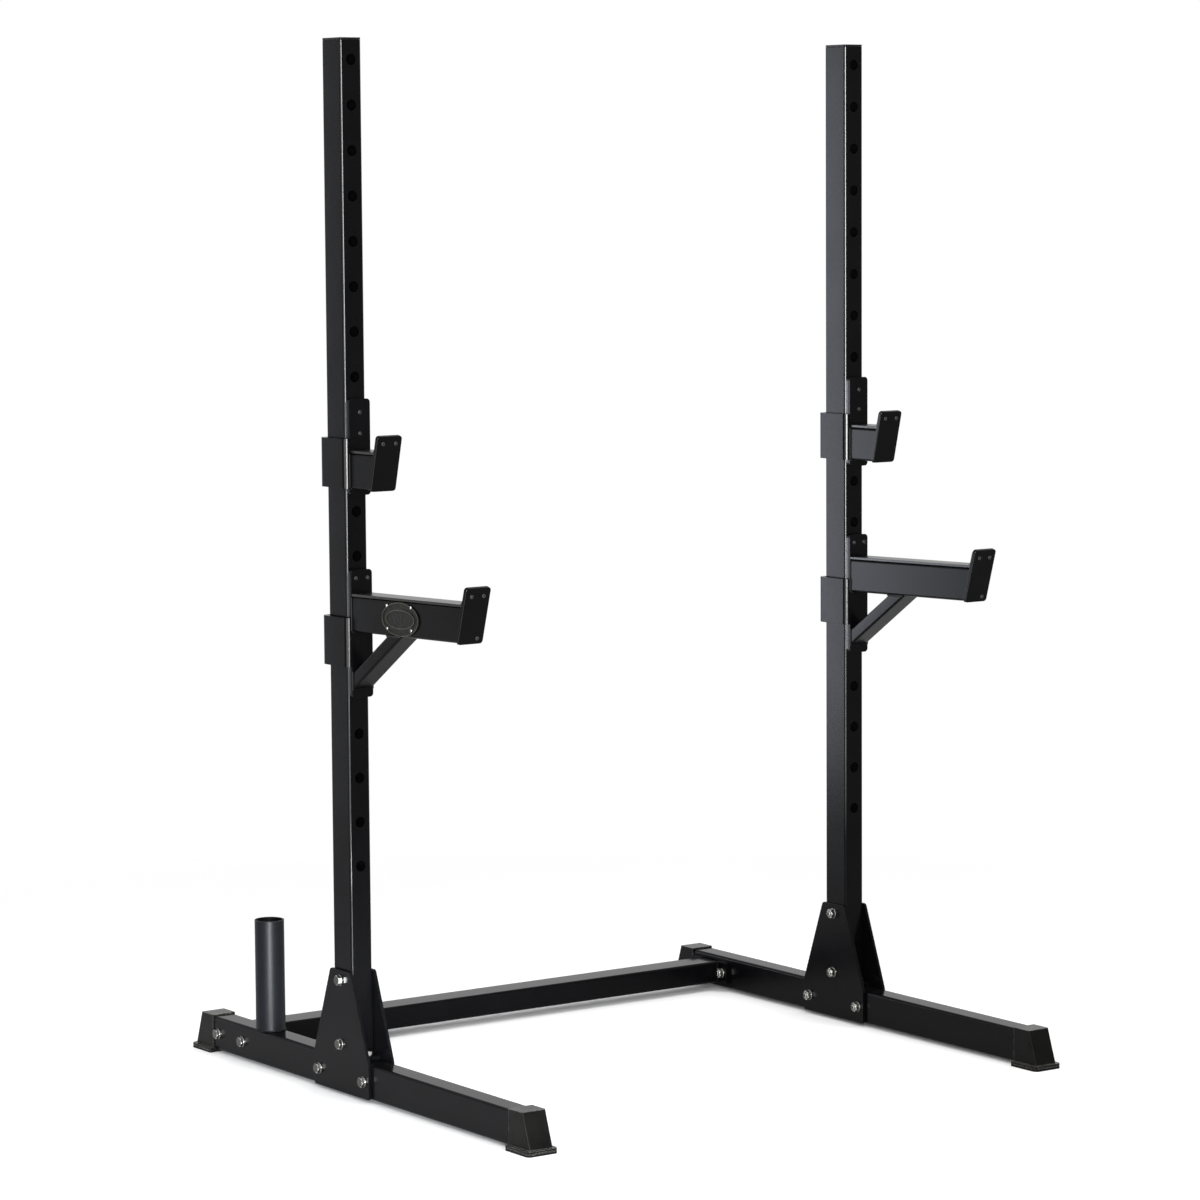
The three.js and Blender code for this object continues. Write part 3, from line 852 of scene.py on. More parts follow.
@dataclass
class Bolt:
    """A hexagon bolt with its washers and nut, head towards -X, its grip centred on the origin."""

    grip: float
    shank: float = 0.010
    flats: float = 0.017
    head: float = 0.0064
    nut: float = 0.008
    washer: float = 0.020
    washer_thickness: float = 0.002
    spare: float = 0.003
    seat: float = 0.0003
    chamfer: float = 0.0014
    washer_round: float = 0.0004
    collar: float = 0.0012
    collar_radius: float = 0.00748
    collar_round: float = 0.0008
    ridges: int = 4
    thread_depth: float = 0.0006

    @property
    def outside(self) -> float:
        """The distance from the middle of the grip to the outer face of a washer."""
        return self.grip / 2 + self.seat + self.washer_thickness

    def build(self) -> Piece:
        """Builds the bolt.

        Returns:
            The bolt as one piece.
        """
        out = self.outside
        top, end = -out - self.head, out + self.nut
        parts = [self._hexagon(top, -out, [top]), self._hexagon(out, end, [out, end])]
        parts += [self._washer(-out), self._washer(self.grip / 2 + self.seat), self._thread()]
        for part in parts[:2]:
            BENCH.finish_edges(part, FINE_EDGE, 1)
        parts.append(BENCH.round_bar(Axis.X, self.shank / 2, (-out, 0, 0), 2 * out, 24))
        collar = BENCH.round_bar(Axis.X, self.collar_radius, (end, 0, 0), self.collar, 32)
        BENCH.round_off(collar, at(Axis.X, end + self.collar), self.collar_round, 3)
        bolt = BENCH.gather([*parts, collar])
        BENCH.finish_edges(bolt, 0.0)
        return bolt

    def _hexagon(self, start: float, end: float, chamfered: list[float]) -> Piece:
        """Builds a hexagon whose corners are chamfered at one end or both."""
        corner = self.flats / math.sqrt(3)
        piece = BENCH.round_bar(Axis.X, corner, (start, 0, 0), end - start, 6)
        turned = BENCH.round_bar(Axis.X, corner * 1.002, (start, 0, 0), end - start, 48)
        for x in chamfered:
            BENCH.round_off(turned, at(Axis.X, x), self.chamfer, 1)
        BENCH.combine(piece, turned, Combine.KEEP)
        return piece

    def _washer(self, start: float) -> Piece:
        """Builds one flat washer."""
        thickness = self.washer_thickness
        piece = BENCH.round_bar(Axis.X, self.washer / 2, (start, 0, 0), thickness, 48)
        for x in (start, start + thickness):
            BENCH.round_off(piece, at(Axis.X, x), self.washer_round, 2)
        return piece

    def _thread(self) -> Piece:
        """Builds the threaded end that stands out of the nut, ridge by ridge."""
        start = self.outside + self.nut
        step = {"value": (self.spare / self.ridges / 2, 0, 0)}
        root = self.shank / 2 - self.thread_depth
        piece = BENCH.round_bar(Axis.X, root, (start - 0.001, 0, 0), 0.001, 24)
        thick, thin = self.shank / 2 / root, root / (self.shank / 2)
        last = self.ridges - 1
        with BENCH.edit(piece, Element.FACE, facing((1.0, 0.0, 0.0))):
            for ridge in range(self.ridges):
                for scale in (thick, thin if ridge < last else thin * 0.93):
                    bpy.ops.mesh.extrude_region_move(TRANSFORM_OT_translate=step)
                    sizes = (1, scale, scale)
                    bpy.ops.transform.resize(value=sizes, center_override=(start, 0, 0))
        return piece


@dataclass
class ButtonScrew:
    """A button head screw with a hexagon socket, its seat on the origin and its head towards -Y."""

    radius: float = 0.0040
    height: float = 0.0022
    socket: float = 0.0017
    socket_depth: float = 0.0014

    def build(self) -> Piece:
        """Builds the screw's head.

        Returns:
            The head.
        """
        top = -self.height
        head = BENCH.round_bar(Axis.Y, self.radius, (0, 0, 0), top, 32)
        BENCH.round_off(head, at(Axis.Y, top), self.height * 0.85, 5)
        drive = BENCH.round_bar(Axis.Y, self.socket, (0, top + self.socket_depth, 0), -PAST, 6)
        BENCH.combine(head, drive, Combine.CUT)
        BENCH.finish_edges(head, 0.0)
        return head


@dataclass
class Foot:
    """One foot with its upright, gussets and boots."""

    side: Side
    hole_radius: float = 0.01025
    hole_sides: int = 40
    hole_pitch: float = 0.0825
    hole_count: int = 19
    first_hole_drop: float = 0.040
    flange_thickness: float = 0.008
    flange_corner: float = 0.003
    lid: float = 0.004
    plug_gap: float = 0.0003
    dish: tuple[float, float] = (0.006, 0.0007)
    gusset_corner: float = 0.005
    gusset_top: float = 0.070
    foot_top: float = 0.072
    boot_wall: float = 0.0025
    boot_corner: float = 0.003
    boot_slope: float = 0.022
    sole_thickness: float = 0.010
    sole_lip: float = 0.007
    sole_corner: float = 0.008
    groove_depth: float = 0.0012
    groove_width: float = 0.0016
    groove_stop: float = 0.004
    pocket_depth: float = 0.038
    pocket_floor: float = 0.0067

    @property
    def label(self) -> str:
        """The start of this side's node names."""
        return self.side.label

    def build(self) -> None:
        """Builds every piece of this side that doesn't turn."""
        self._foot_tube()
        self._upright()
        self._cap()
        self._gussets()
        self._boots()

    def _foot_tube(self) -> None:
        """Builds the tube that lies along the floor."""
        node = f"{self.label}_foot_tube"
        tube = TUBE.bar(*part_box(node), Axis.Y)
        BENCH.bore(tube, Axis.Y, TUBE.wall)
        STOCK.frame_part(tube, f"{node}_rail", 0.0, node)

    def _upright(self) -> None:
        """Builds the perforated post, its base flange and the weld between them."""
        node = f"{self.label}_upright"
        low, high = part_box(node)
        middle = (low + high) / 2
        half = Vector((TUBE.wide / 2, TUBE.deep / 2, 0))
        post_low = Vector((middle.x, middle.y, low.z)) - half
        post_high = Vector((middle.x, middle.y, high.z)) + half
        post = TUBE.bar(post_low, post_high, Axis.Z)
        BENCH.bore(post, Axis.Z, TUBE.wall)
        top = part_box(f"{self.label}_upright_cap")[1].z
        start = (middle.x, post_low.y - PAST, top - self.first_hole_drop)
        length = TUBE.deep + 2 * PAST
        drill = BENCH.round_bar(Axis.Y, self.hole_radius, start, length, self.hole_sides)
        BENCH.repeat(drill, self.hole_count, (0, 0, -self.hole_pitch))
        BENCH.combine(post, drill, Combine.CUT)
        STOCK.frame_part(post, f"{node}_post", HOLE_EDGE, node)

        flange_top = low.z + self.flange_thickness
        flange = BENCH.block(low, (high.x, high.y, flange_top))
        BENCH.round_off(flange, along(Axis.Z), self.flange_corner, 3)
        STOCK.frame_part(flange, f"{self.label}_base_flange", FLANGE_EDGE)
        post_low.z = post_high.z = flange_top + WELD.lift
        bead = WELD.frame(post_low, post_high)
        STOCK.deliver(bead, f"{self.label}_base_weld", POWDER_COAT, "frame")

    def _cap(self) -> None:
        """Builds the plastic cap: a dished lid with a plug that goes into the post."""
        node = f"{self.label}_upright_cap"
        low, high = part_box(node)
        rim = high.z - self.lid
        cap = BENCH.block((low.x, low.y, rim), high)
        BENCH.round_off(cap, along(Axis.Z), TUBE.corner, TUBE.corner_facets)
        BENCH.sink(cap, (0, 0, -1), (TUBE.wall + self.plug_gap, low.z - rim))
        BENCH.sink(cap, (0, 0, 1), self.dish)
        BENCH.finish_edges(cap, CAP_EDGE, 3)
        STOCK.deliver(cap, f"{node}_lid", CAP_PLASTIC, "frame", node)

    def _gussets(self) -> None:
        """Cuts the two gusset plates from flat bar."""
        for place in ("outer", "inner"):
            node = f"{self.label}_{place}_gusset"
            low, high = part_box(node)
            middle = (low + high) / 2
            plate = BENCH.block(low, high)
            for end, edge in ((-1, low.y), (1, high.y)):
                lean = middle.y + end * self.gusset_top / 2 - edge
                normal = Vector((0, (high.z - self.foot_top) * end, -lean * end)).normalized()
                BENCH.slice(plate, (middle.x, edge, self.foot_top), normal)
            BENCH.round_off(plate, along(Axis.X), self.gusset_corner, 5)
            STOCK.frame_part(plate, f"{node}_plate", SOFT_EDGE, node)

    def _boots(self) -> None:
        """Moulds one boot and sets a copy on each end of the foot."""
        node, other = f"{self.label}_front_boot", f"{self.label}_rear_boot"
        low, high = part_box(node)
        front = self._boot(low, high)
        half_turn = Matrix.Rotation(math.pi, 4, "Z")
        there = Matrix.Translation(sum(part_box(other), Vector()) / 2)
        rear = BENCH.copy(front, there @ half_turn @ Matrix.Translation((low + high) / -2))
        STOCK.deliver(front, f"{node}_moulding", BOOT_RUBBER, "frame", node)
        STOCK.deliver(rear, f"{other}_moulding", BOOT_RUBBER, "frame", other)

    def _boot(self, low: Vector, high: Vector) -> Piece:
        """Moulds a boot on the -Y end of a foot: body, sole with its groove, and pocket."""
        inner, wall = self.sole_lip, self.boot_wall
        sole_top = low.z + self.sole_thickness
        boot = BENCH.block((low.x + inner, low.y + inner, low.z), (high.x - inner, high.y, high.z))
        normal = Vector((0, self.sole_thickness - high.z, self.boot_slope)).normalized()
        BENCH.slice(boot, (0, low.y + inner, sole_top), normal)
        limit = low.y + inner + self.boot_slope
        BENCH.round_off(boot, lambda edge: self._front_corner(edge, limit), self.boot_corner, 3)
        sole = BENCH.block(low, (high.x, high.y, sole_top))
        BENCH.round_off(sole, at(Axis.Y, low.y, Axis.Z), self.sole_corner, 6)
        BENCH.combine(boot, sole, Combine.JOIN)
        depth, z = self.groove_depth, low.z + self.sole_thickness * 0.45
        end = (high.x + PAST, high.y - self.groove_stop, z + self.groove_width)
        groove = BENCH.block((low.x - PAST, low.y - PAST, z), end)
        core_low = (low.x + depth, low.y + depth, z - PAST)
        core = BENCH.block(core_low, (high.x - depth, high.y, z + PAST))
        BENCH.round_off(core, at(Axis.Y, low.y + depth, Axis.Z), self.sole_corner - depth, 6)
        BENCH.combine(groove, core, Combine.CUT)
        BENCH.combine(boot, groove, Combine.CUT)
        pocket_low = (low.x + inner + wall, high.y - self.pocket_depth, low.z + self.pocket_floor)
        pocket_high = (high.x - inner - wall, high.y + PAST, high.z - wall)
        BENCH.combine(boot, TUBE.bar(pocket_low, pocket_high, Axis.Y), Combine.CUT)
        BENCH.finish_edges(boot, SOFT_EDGE)
        return boot

    @staticmethod
    def _front_corner(edge: Any, limit: float) -> bool:
        """Says whether an edge runs up one side of the boot's slanted front face."""
        first, second = (vert.co for vert in edge.verts)
        upright = abs(first.z - second.z) > 0.02 and abs(first.x - second.x) < TOUCH
        return upright and max(first.y, second.y) < limit + 1e-4


@dataclass
class Fasteners:
    """The hexagon bolts that hold the frame together."""

    grip_gusset: float = 0.0576
    grip_cross: float = 0.0533
    grip_base: float = 0.0113

    def build(self) -> None:
        """Builds one bolt of each kind and sets the copies in their holes."""
        self._set("gusset", self.grip_gusset, ("top", "middle", "front", "rear"))
        self._set("cross", self.grip_cross, ("front", "rear"))
        self._set("base", self.grip_base, ("front", "rear"))

    def _set(self, kind: str, grip: float, places: tuple[str, ...]) -> None:
        """Sets copies of one bolt at its places on both sides."""
        bolt = Bolt(grip)
        pattern = bolt.build()
        reach = bolt.outside + bolt.head
        for node in [f"{side.label}_{kind}_bolt_{place}" for side in Side for place in places]:
            low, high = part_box(node)
            middle = (low + high) / 2
            turn = Matrix.Identity(4)
            if kind == "base":
                turn = Matrix.Rotation(math.pi / 2, 4, "Y")
                middle.z = high.z - reach
            elif node.startswith(Side.LEFT.label):
                middle.x = low.x + reach
            else:
                turn = Matrix.Rotation(math.pi, 4, "Z")
                middle.x = high.x - reach
            spin = Matrix.Rotation(self._angle(node), 4, "X")
            piece = BENCH.copy(pattern, Matrix.Translation(middle) @ turn @ spin)
            STOCK.deliver(piece, f"{node}_set", ZINC, "frame", node)
        bpy.data.objects.remove(pattern)

    @staticmethod
    def _angle(node: str) -> float:
        """An angle of its own for each bolt, as hand-tightened bolts have."""
        return math.radians(sum(map(ord, node)) * 17 % 60)


@dataclass
class CrossMember:
    """The tube that ties the two feet together, with its end flanges and welds."""

    flange_thickness: float = 0.008
    flange_corner: float = 0.004
    bead_gap: float = 0.004

    def build(self) -> None:
        """Builds the tube, the flanges and the weld beads."""
        node = "cross_member"
        low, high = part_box(node)
        rear, front = (low.y + high.y) / 2 + TUBE.deep / 2, (low.y + high.y) / 2 - TUBE.deep / 2
        tube = TUBE.bar((low.x, front, low.z), (high.x, rear, high.z), Axis.X)
        STOCK.frame_part(tube, f"{node}_tube", 0.0, node)
        thick = self.flange_thickness
        for side, start, inner in (("left", low.x, thick), ("right", high.x - thick, 0)):
            flange = BENCH.block((start, low.y, low.z), (start + thick, high.y, high.z))
            BENCH.round_off(flange, along(Axis.X), self.flange_corner, 4)
            STOCK.frame_part(flange, f"{side}_cross_flange", FLANGE_EDGE)
            x = start + inner + (WELD.lift if inner else -WELD.lift)
            bottom, top = low.z + self.bead_gap, high.z - self.bead_gap
            beads = BENCH.gather([WELD.bead((x, y, bottom), (x, y, top)) for y in (front, rear)])
            STOCK.deliver(beads, f"{side}_cross_weld", POWDER_COAT, "frame")


@dataclass
class StorageTube:
    """The open round tube on the left foot that holds a bar upright."""

    wall: float = 0.0025
    floor: float = 0.002
    sides: int = 96
    weld: Weld = field(default_factory=lambda: Weld(width=0.0028, pitch=0.0016))
    weld_offset: tuple[float, float] = (0.0003, 0.0008)

    def build(self) -> None:
        """Builds the tube and the weld round its foot."""
        node = "storage_tube"
        low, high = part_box(node)
        x, y = (low.x + high.x) / 2, (low.y + high.y) / 2
        radius, height = (high.x - low.x) / 2, high.z - low.z
        tube = BENCH.round_bar(Axis.Z, radius, (x, y, low.z), height, self.sides)
        BENCH.sink(tube, (0, 0, 1), (self.wall, height - self.floor))
        BENCH.finish_edges(tube, RIM_EDGE, 3)
        STOCK.deliver(tube, f"{node}_socket", ROUND_COAT, "frame", node)
        out, up = self.weld_offset
        ring = self.weld.ring((x, y, low.z + up), radius + out)
        STOCK.deliver(ring, "storage_weld", POWDER_COAT, "frame")


@dataclass
class Reach:
    """What stands out of a bracket: a tube with a slanted lip and a moulded liner on top.

    Its own frame starts at the tube's top edge on the bracket, and its tube runs along -Y.
    """

    length: float
    lean: float
    pitch: float
    top: float
    lip_width: float = 0.053
    lip_thickness: float = 0.008
    lip_corner: float = 0.006
    lip_rise: float = 0.037
    liner_thickness: float = 0.005
    liner_fillet: float = 0.0087
    liner_inset: float = 0.006
    seat: float = 0.0003
    bead_gap: float = 0.003
    bracket_bead: float = 0.0008
    lip_bead: float = 0.0006

    @property
    def head(self) -> float:
        """Where the slanted end meets the top of the tube."""
        return -self.length - TUBE.deep * math.tan(self.lean)

    @property
    def outward(self) -> Vector:
        """The direction that the slanted end faces."""
        return Vector((0, -math.cos(self.lean), -math.sin(self.lean)))

    @property
    def back(self) -> Vector:
        """The direction of the bracket's plate, seen from the tube."""
        return Vector((0, math.cos(self.pitch), math.sin(self.pitch)))

    @property
    def lip_frame(self) -> Matrix:
        """The frame of the lip plate's rear face, with its origin at the lower end."""
        foot = Vector((0, -self.length, -TUBE.deep)) + self.outward * self.seat
        return Matrix.Translation(foot) @ Matrix.Rotation(self.lean, 4, "X")

    def tube(self) -> Piece:
        """Cuts the tube to its slanted end.

        Returns:
            The tube, in the reach's own frame.
        """
        half, past = TUBE.wide / 2, 2 * PAST
        piece = TUBE.bar((-half, self.head - past, -TUBE.deep), (half, past, 0), Axis.Y)
        BENCH.slice(piece, (0, -self.length, -TUBE.deep), self.outward)
        BENCH.slice(piece, (0, 0, 0), self.back)
        BENCH.finish_edges(piece, 0.0)
        return piece

    def lip(self) -> Piece:
        """Cuts the lip plate and lays it on the slanted end.

        Returns:
            The plate, in the reach's own frame.
        """
        half = self.lip_width / 2
        length = (TUBE.deep + self.lip_rise) / math.cos(self.lean)
        piece = BENCH.block((-half, -self.lip_thickness, 0), (half, 0, length))
        BENCH.round_off(piece, along(Axis.Y), self.lip_corner, 6)
        BENCH.finish_edges(piece, LIP_EDGE, 3)
        return BENCH.place(piece, self.lip_frame)

    def liner(self) -> Piece:
        """Moulds the liner: a floor that turns up the inner face of the lip.

        Returns:
            The liner, in the reach's own frame.
        """
        half, past = TUBE.wide / 2, 3 * PAST
        ceiling = self.lip_rise - self.liner_inset
        piece = BENCH.block((-half, self.head - past, self.seat), (half, PAST, ceiling))
        BENCH.slice(piece, (0, self.head, 0), self.outward)
        BENCH.slice(piece, (0, 0, 0), self.back)
        floor = self.seat + self.liner_thickness
        room = BENCH.block((-0.05, self.head - past, floor), (0.05, 0.05, 0.1))
        inner = self.head + self.liner_thickness / math.cos(self.lean)
        BENCH.slice(room, (0, inner, 0), self.outward)
        bottom = at(Axis.Z, floor, Axis.X)
        corner = lambda edge: bottom(edge) and edge.verts[0].co.y < self.head / 2
        BENCH.round_off(room, corner, self.liner_fillet, 8)
        BENCH.combine(piece, room, Combine.CUT)
        BENCH.finish_edges(piece, SOFT_EDGE)
        return piece

    def welds(self) -> Piece:
        """Lays the beads down both sides and along the underside of the tube's ends.

        Returns:
            The beads, in the reach's own frame.
        """
        half, drop, gap = TUBE.wide / 2, -TUBE.deep, self.bead_gap
        heel = -drop * math.tan(self.pitch) - self.bracket_bead
        slant = gap * math.tan(self.lean)
        beads = []
        for x in (-half, half):
            beads.append(WELD.bead((x, -self.bracket_bead, -gap), (x, heel, drop + gap)))
            upper = (x, self.head + slant + self.lip_bead, -gap)
            beads.append(WELD.bead(upper, (x, -self.length - slant + self.lip_bead, drop + gap)))
        for y in (heel, -self.length + self.lip_bead):
            beads.append(WELD.bead((-half + gap, y, drop), (half - gap, y, drop)))
        return BENCH.gather(beads)


@dataclass
class HookOn:
    """A fitting that hooks onto an upright: bracket, back liner, pin and what it carries.

    Its own frame is centred on its pin's axis, at the middle of the upright.
    """

    kind: str
    tube_part: str
    liner_part: str
    rise: float
    drop: float
    reach: Reach
    plate_screws: Spots
    lip_screws: Spots
    plate_thickness: float = 0.006
    plate_corner: float = 0.007
    plate_front: float = -0.0471
    wrap_clearance: float = 0.004
    wrap_top: float = -0.030
    wrap_height: float = 0.091
    bend_outer: float = 0.011
    bend_inner: float = 0.005
    hook_length: float = 0.032
    liner_thickness: float = 0.008
    liner_inset: float = 0.001
    seat: float = 0.0003
    pin_radius: float = 0.009
    pin_end: float = 0.0395
    pin_chamfer: float = 0.002
    pin_play: float = 0.0005
    pin_dish: tuple[float, float] = (0.003, 0.0008)

    @property
    def plate_back(self) -> float:
        """The rear face of the bracket's plate."""
        return self.plate_front + self.plate_thickness

    @property
    def reach_frame(self) -> Matrix:
        """The place and pitch of the reach in the fitting's frame."""
        start = Vector((0, self.plate_front - self.seat, self.reach.top))
        return Matrix.Translation(start) @ Matrix.Rotation(-self.reach.pitch, 4, "X")

    def build(self) -> None:
        """Builds the fitting once and sets it on both uprights."""
        made = self._held() + self._carried() + self._braced()
        for side in Side:
            body = f"{side.label}_{self.kind}"
            low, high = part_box(f"{body}_pin")
            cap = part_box(f"{side.label}_upright_cap")[0]
            centre = ((low.x + high.x) / 2, cap.y + TUBE.deep / 2, (low.z + high.z) / 2)
            for piece, finish, part in made:
                node = f"{body}_{part}"
                twin = BENCH.copy(piece, Matrix.Translation(centre))
                stands_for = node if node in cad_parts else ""
                STOCK.deliver(twin, f"{node}_{finish.name}", finish, body, stands_for)
        for piece, _, _ in made:
            bpy.data.objects.remove(piece)

    def _held(self) -> Made:
        """Builds the bracket, its liner and pin, and the screws."""
        screws = [self._screw(spot, Matrix(), self.plate_front) for spot in self.plate_screws]
        lip_frame = self.reach_frame @ self.reach.lip_frame
        screws += [
            self._screw(spot, lip_frame, -self.reach.lip_thickness) for spot in self.lip_screws
        ]
        return [
            (self._bracket(), POWDER_COAT, "bracket"),
            (self._back_liner(), LINER_PLASTIC, "back_liner"),
            (self._pin(), ZINC, "pin"),
            (BENCH.gather(screws), SCREW_BLACK, "screws"),
        ]

    def _carried(self) -> Made:
        """Builds the tube, lip, liner and welds that stand out of the bracket."""
        made = [
            (self.reach.tube(), POWDER_COAT, self.tube_part),
            (self.reach.lip(), POWDER_COAT, "lip"),
            (self.reach.liner(), LINER_PLASTIC, self.liner_part),
            (self.reach.welds(), POWDER_COAT, "welds"),
        ]
        for piece, _, _ in made:
            BENCH.place(piece, self.reach_frame)
        return made

    def _braced(self) -> Made:
        """Builds what supports the tube, if anything does."""
        return []

    def _screw(self, spot: tuple[float, float], base: Matrix, front: float) -> Piece:
        """Sets one screw head on a plate, at its X and height there."""
        return BENCH.place(
            ButtonScrew().build(), base @ Matrix.Translation((spot[0], front, spot[1]))
        )

    def _bracket(self) -> Piece:
        """Bends the bracket: a flat plate, a wrap down the upright's -X side and a hook behind."""
        half, thick = TUBE.wide / 2, self.plate_thickness
        front, back = self.plate_front, self.plate_back
        plate = BENCH.block((-half, front, -self.drop), (half, back, self.rise))
        BENCH.round_off(plate, along(Axis.Y), self.plate_corner, 6)
        inner_x, inner_y = -half - self.wrap_clearance, TUBE.deep / 2 + self.wrap_clearance
        outer_x, outer_y = inner_x - thick, inner_y + thick
        low, high = self.wrap_top - self.wrap_height, self.wrap_top
        wrap = BENCH.block((outer_x, front, low), (half, outer_y, high))
        BENCH.round_off(wrap, at(Axis.X, outer_x, Axis.Z), self.bend_outer, 8)
        hollow = BENCH.block((inner_x, back, low - PAST), (0.1, inner_y, high + PAST))
        BENCH.round_off(hollow, at(Axis.X, inner_x, Axis.Z), self.bend_inner, 8)
        BENCH.combine(wrap, hollow, Combine.CUT)
        end = outer_x + self.hook_length
        opening = BENCH.block((end, 0, low - PAST), (0.1, 0.1, high + PAST))
        BENCH.combine(wrap, opening, Combine.CUT)
        BENCH.combine(plate, wrap, Combine.JOIN)
        BENCH.finish_edges(plate, SOFT_EDGE)
        return plate

    def _back_liner(self) -> Piece:
        """Moulds the slab between the bracket and the upright, with the pin's hole."""
        inset, thick = self.liner_inset, self.liner_thickness
        half = TUBE.wide / 2 - inset
        front = -(TUBE.deep / 2 + self.seat + thick)
        corners = (-half, front, inset - self.drop), (half, front + thick, self.rise - inset)
        slab = BENCH.block(*corners)
        BENCH.round_off(slab, along(Axis.Y), self.plate_corner, 6)
        radius = self.pin_radius + self.pin_play
        hole = BENCH.round_bar(Axis.Y, radius, (0, front - PAST, 0), 3 * PAST, 40)
        BENCH.combine(slab, hole, Combine.CUT)
        BENCH.finish_edges(slab, SOFT_EDGE)
        return slab

    def _pin(self) -> Piece:
        """Turns the pin, with a chamfered and dished end."""
        start, end = self.plate_back - self.seat, self.pin_end
        pin = BENCH.round_bar(Axis.Y, self.pin_radius, (0, start, 0), end - start, 48)
        BENCH.round_off(pin, at(Axis.Y, end), self.pin_chamfer, 2)
        BENCH.sink(pin, (0, 1, 0), self.pin_dish)
        BENCH.finish_edges(pin, 0.0)
        return pin


@dataclass
class BarCup(HookOn):
    """The cup that a bar rests in."""

    kind: str = "cup"
    tube_part: str = "box"
    liner_part: str = "saddle_liner"
    rise: float = 0.043
    drop: float = 0.134
    reach: Reach = field(default_factory=lambda: Reach(0.070, math.radians(14), 0.0, -0.056))
    plate_screws: Spots = ((0.0, 0.018), (0.0, -0.021))
    lip_screws: Spots = ((-0.0135, 0.091), (0.0135, 0.091))


@dataclass
class SpotterArm(HookOn):
    """The long arm that catches a bar, with its brace."""

    kind: str = "arm"
    tube_part: str = "tube"
    liner_part: str = "wear_strip"
    rise: float = 0.059
    drop: float = 0.178
    reach: Reach = field(
        default_factory=lambda: Reach(0.350, math.radians(18), math.radians(1.5), 0.010)
    )
    plate_screws: Spots = ((-0.0125, 0.043), (0.0125, 0.043))
    lip_screws: Spots = ((-0.0130, 0.0915), (0.0125, 0.0915), (0.0125, 0.011))
    brace_width: float = 0.042
    brace_depth: float = 0.026
    brace_corner: float = 0.004
    brace_reach: float = 0.118
    brace_slope: float = math.radians(33.5)
    brace_bead: float = 0.002
    brace_stock: tuple[float, float] = (-0.4, 0.2)

    def _braced(self) -> Made:
        """Builds the slanting brace and its welds."""
        return [
            (self._brace(), POWDER_COAT, "brace"),
            (self._brace_welds(), POWDER_COAT, "brace_welds"),
        ]

    @property
    def _start(self) -> float:
        """The Y where the brace and the arm's tube meet the bracket."""
        return self.plate_front - self.seat

    @property
    def _root(self) -> float:
        """The height of the arm's underside at the bracket."""
        return self.reach.top - (TUBE.deep + self.seat) / math.cos(self.reach.pitch)

    @property
    def _ceiling(self) -> float:
        """The height of the arm's underside where the brace meets it."""
        return self._root + self.brace_reach * math.tan(self.reach.pitch)

    def _brace(self) -> Piece:
        """Cuts the brace to the bracket and to the arm's underside."""
        half, pitch = self.brace_width / 2, self.reach.pitch
        low, high = self.brace_stock
        piece = BENCH.block((-half, -self.brace_depth, low), (half, 0, high))
        BENCH.round_off(piece, along(Axis.Z), self.brace_corner, 5)
        turn = Matrix.Rotation(math.pi / 2 - self.brace_slope, 4, "X")
        meets = Matrix.Translation((0, self._start - self.brace_reach, self._ceiling))
        BENCH.place(piece, meets @ turn)
        BENCH.slice(piece, (0, self._start, self._root), (0, math.sin(pitch), math.cos(pitch)))
        BENCH.slice(piece, (0, self._start, 0), (0, 1, 0))
        BENCH.finish_edges(piece, 0.0)
        return piece

    def _brace_welds(self) -> Piece:
        """Lays the beads on both sides of the brace's two ends."""
        start, half, upper = self._start, self.brace_width / 2, self._ceiling
        slope, pitch = self.brace_slope, self.reach.pitch
        under = self.brace_depth / math.sin(slope + pitch)
        drop = upper - self.brace_reach * math.tan(slope)
        height = self.brace_depth / math.cos(slope)
        near = start - self.brace_reach
        beads = []
        for x in (-half, half):
            front = (x, near - under + self.brace_bead, upper + under * math.tan(pitch))
            beads.append(WELD.bead((x, near, upper), front))
            beads.append(WELD.bead((x, start, drop), (x, start, drop - height)))
        inset = half - WELD.pitch
        beads.append(WELD.bead((-inset, start, drop), (inset, start, drop)))
        return BENCH.gather(beads)


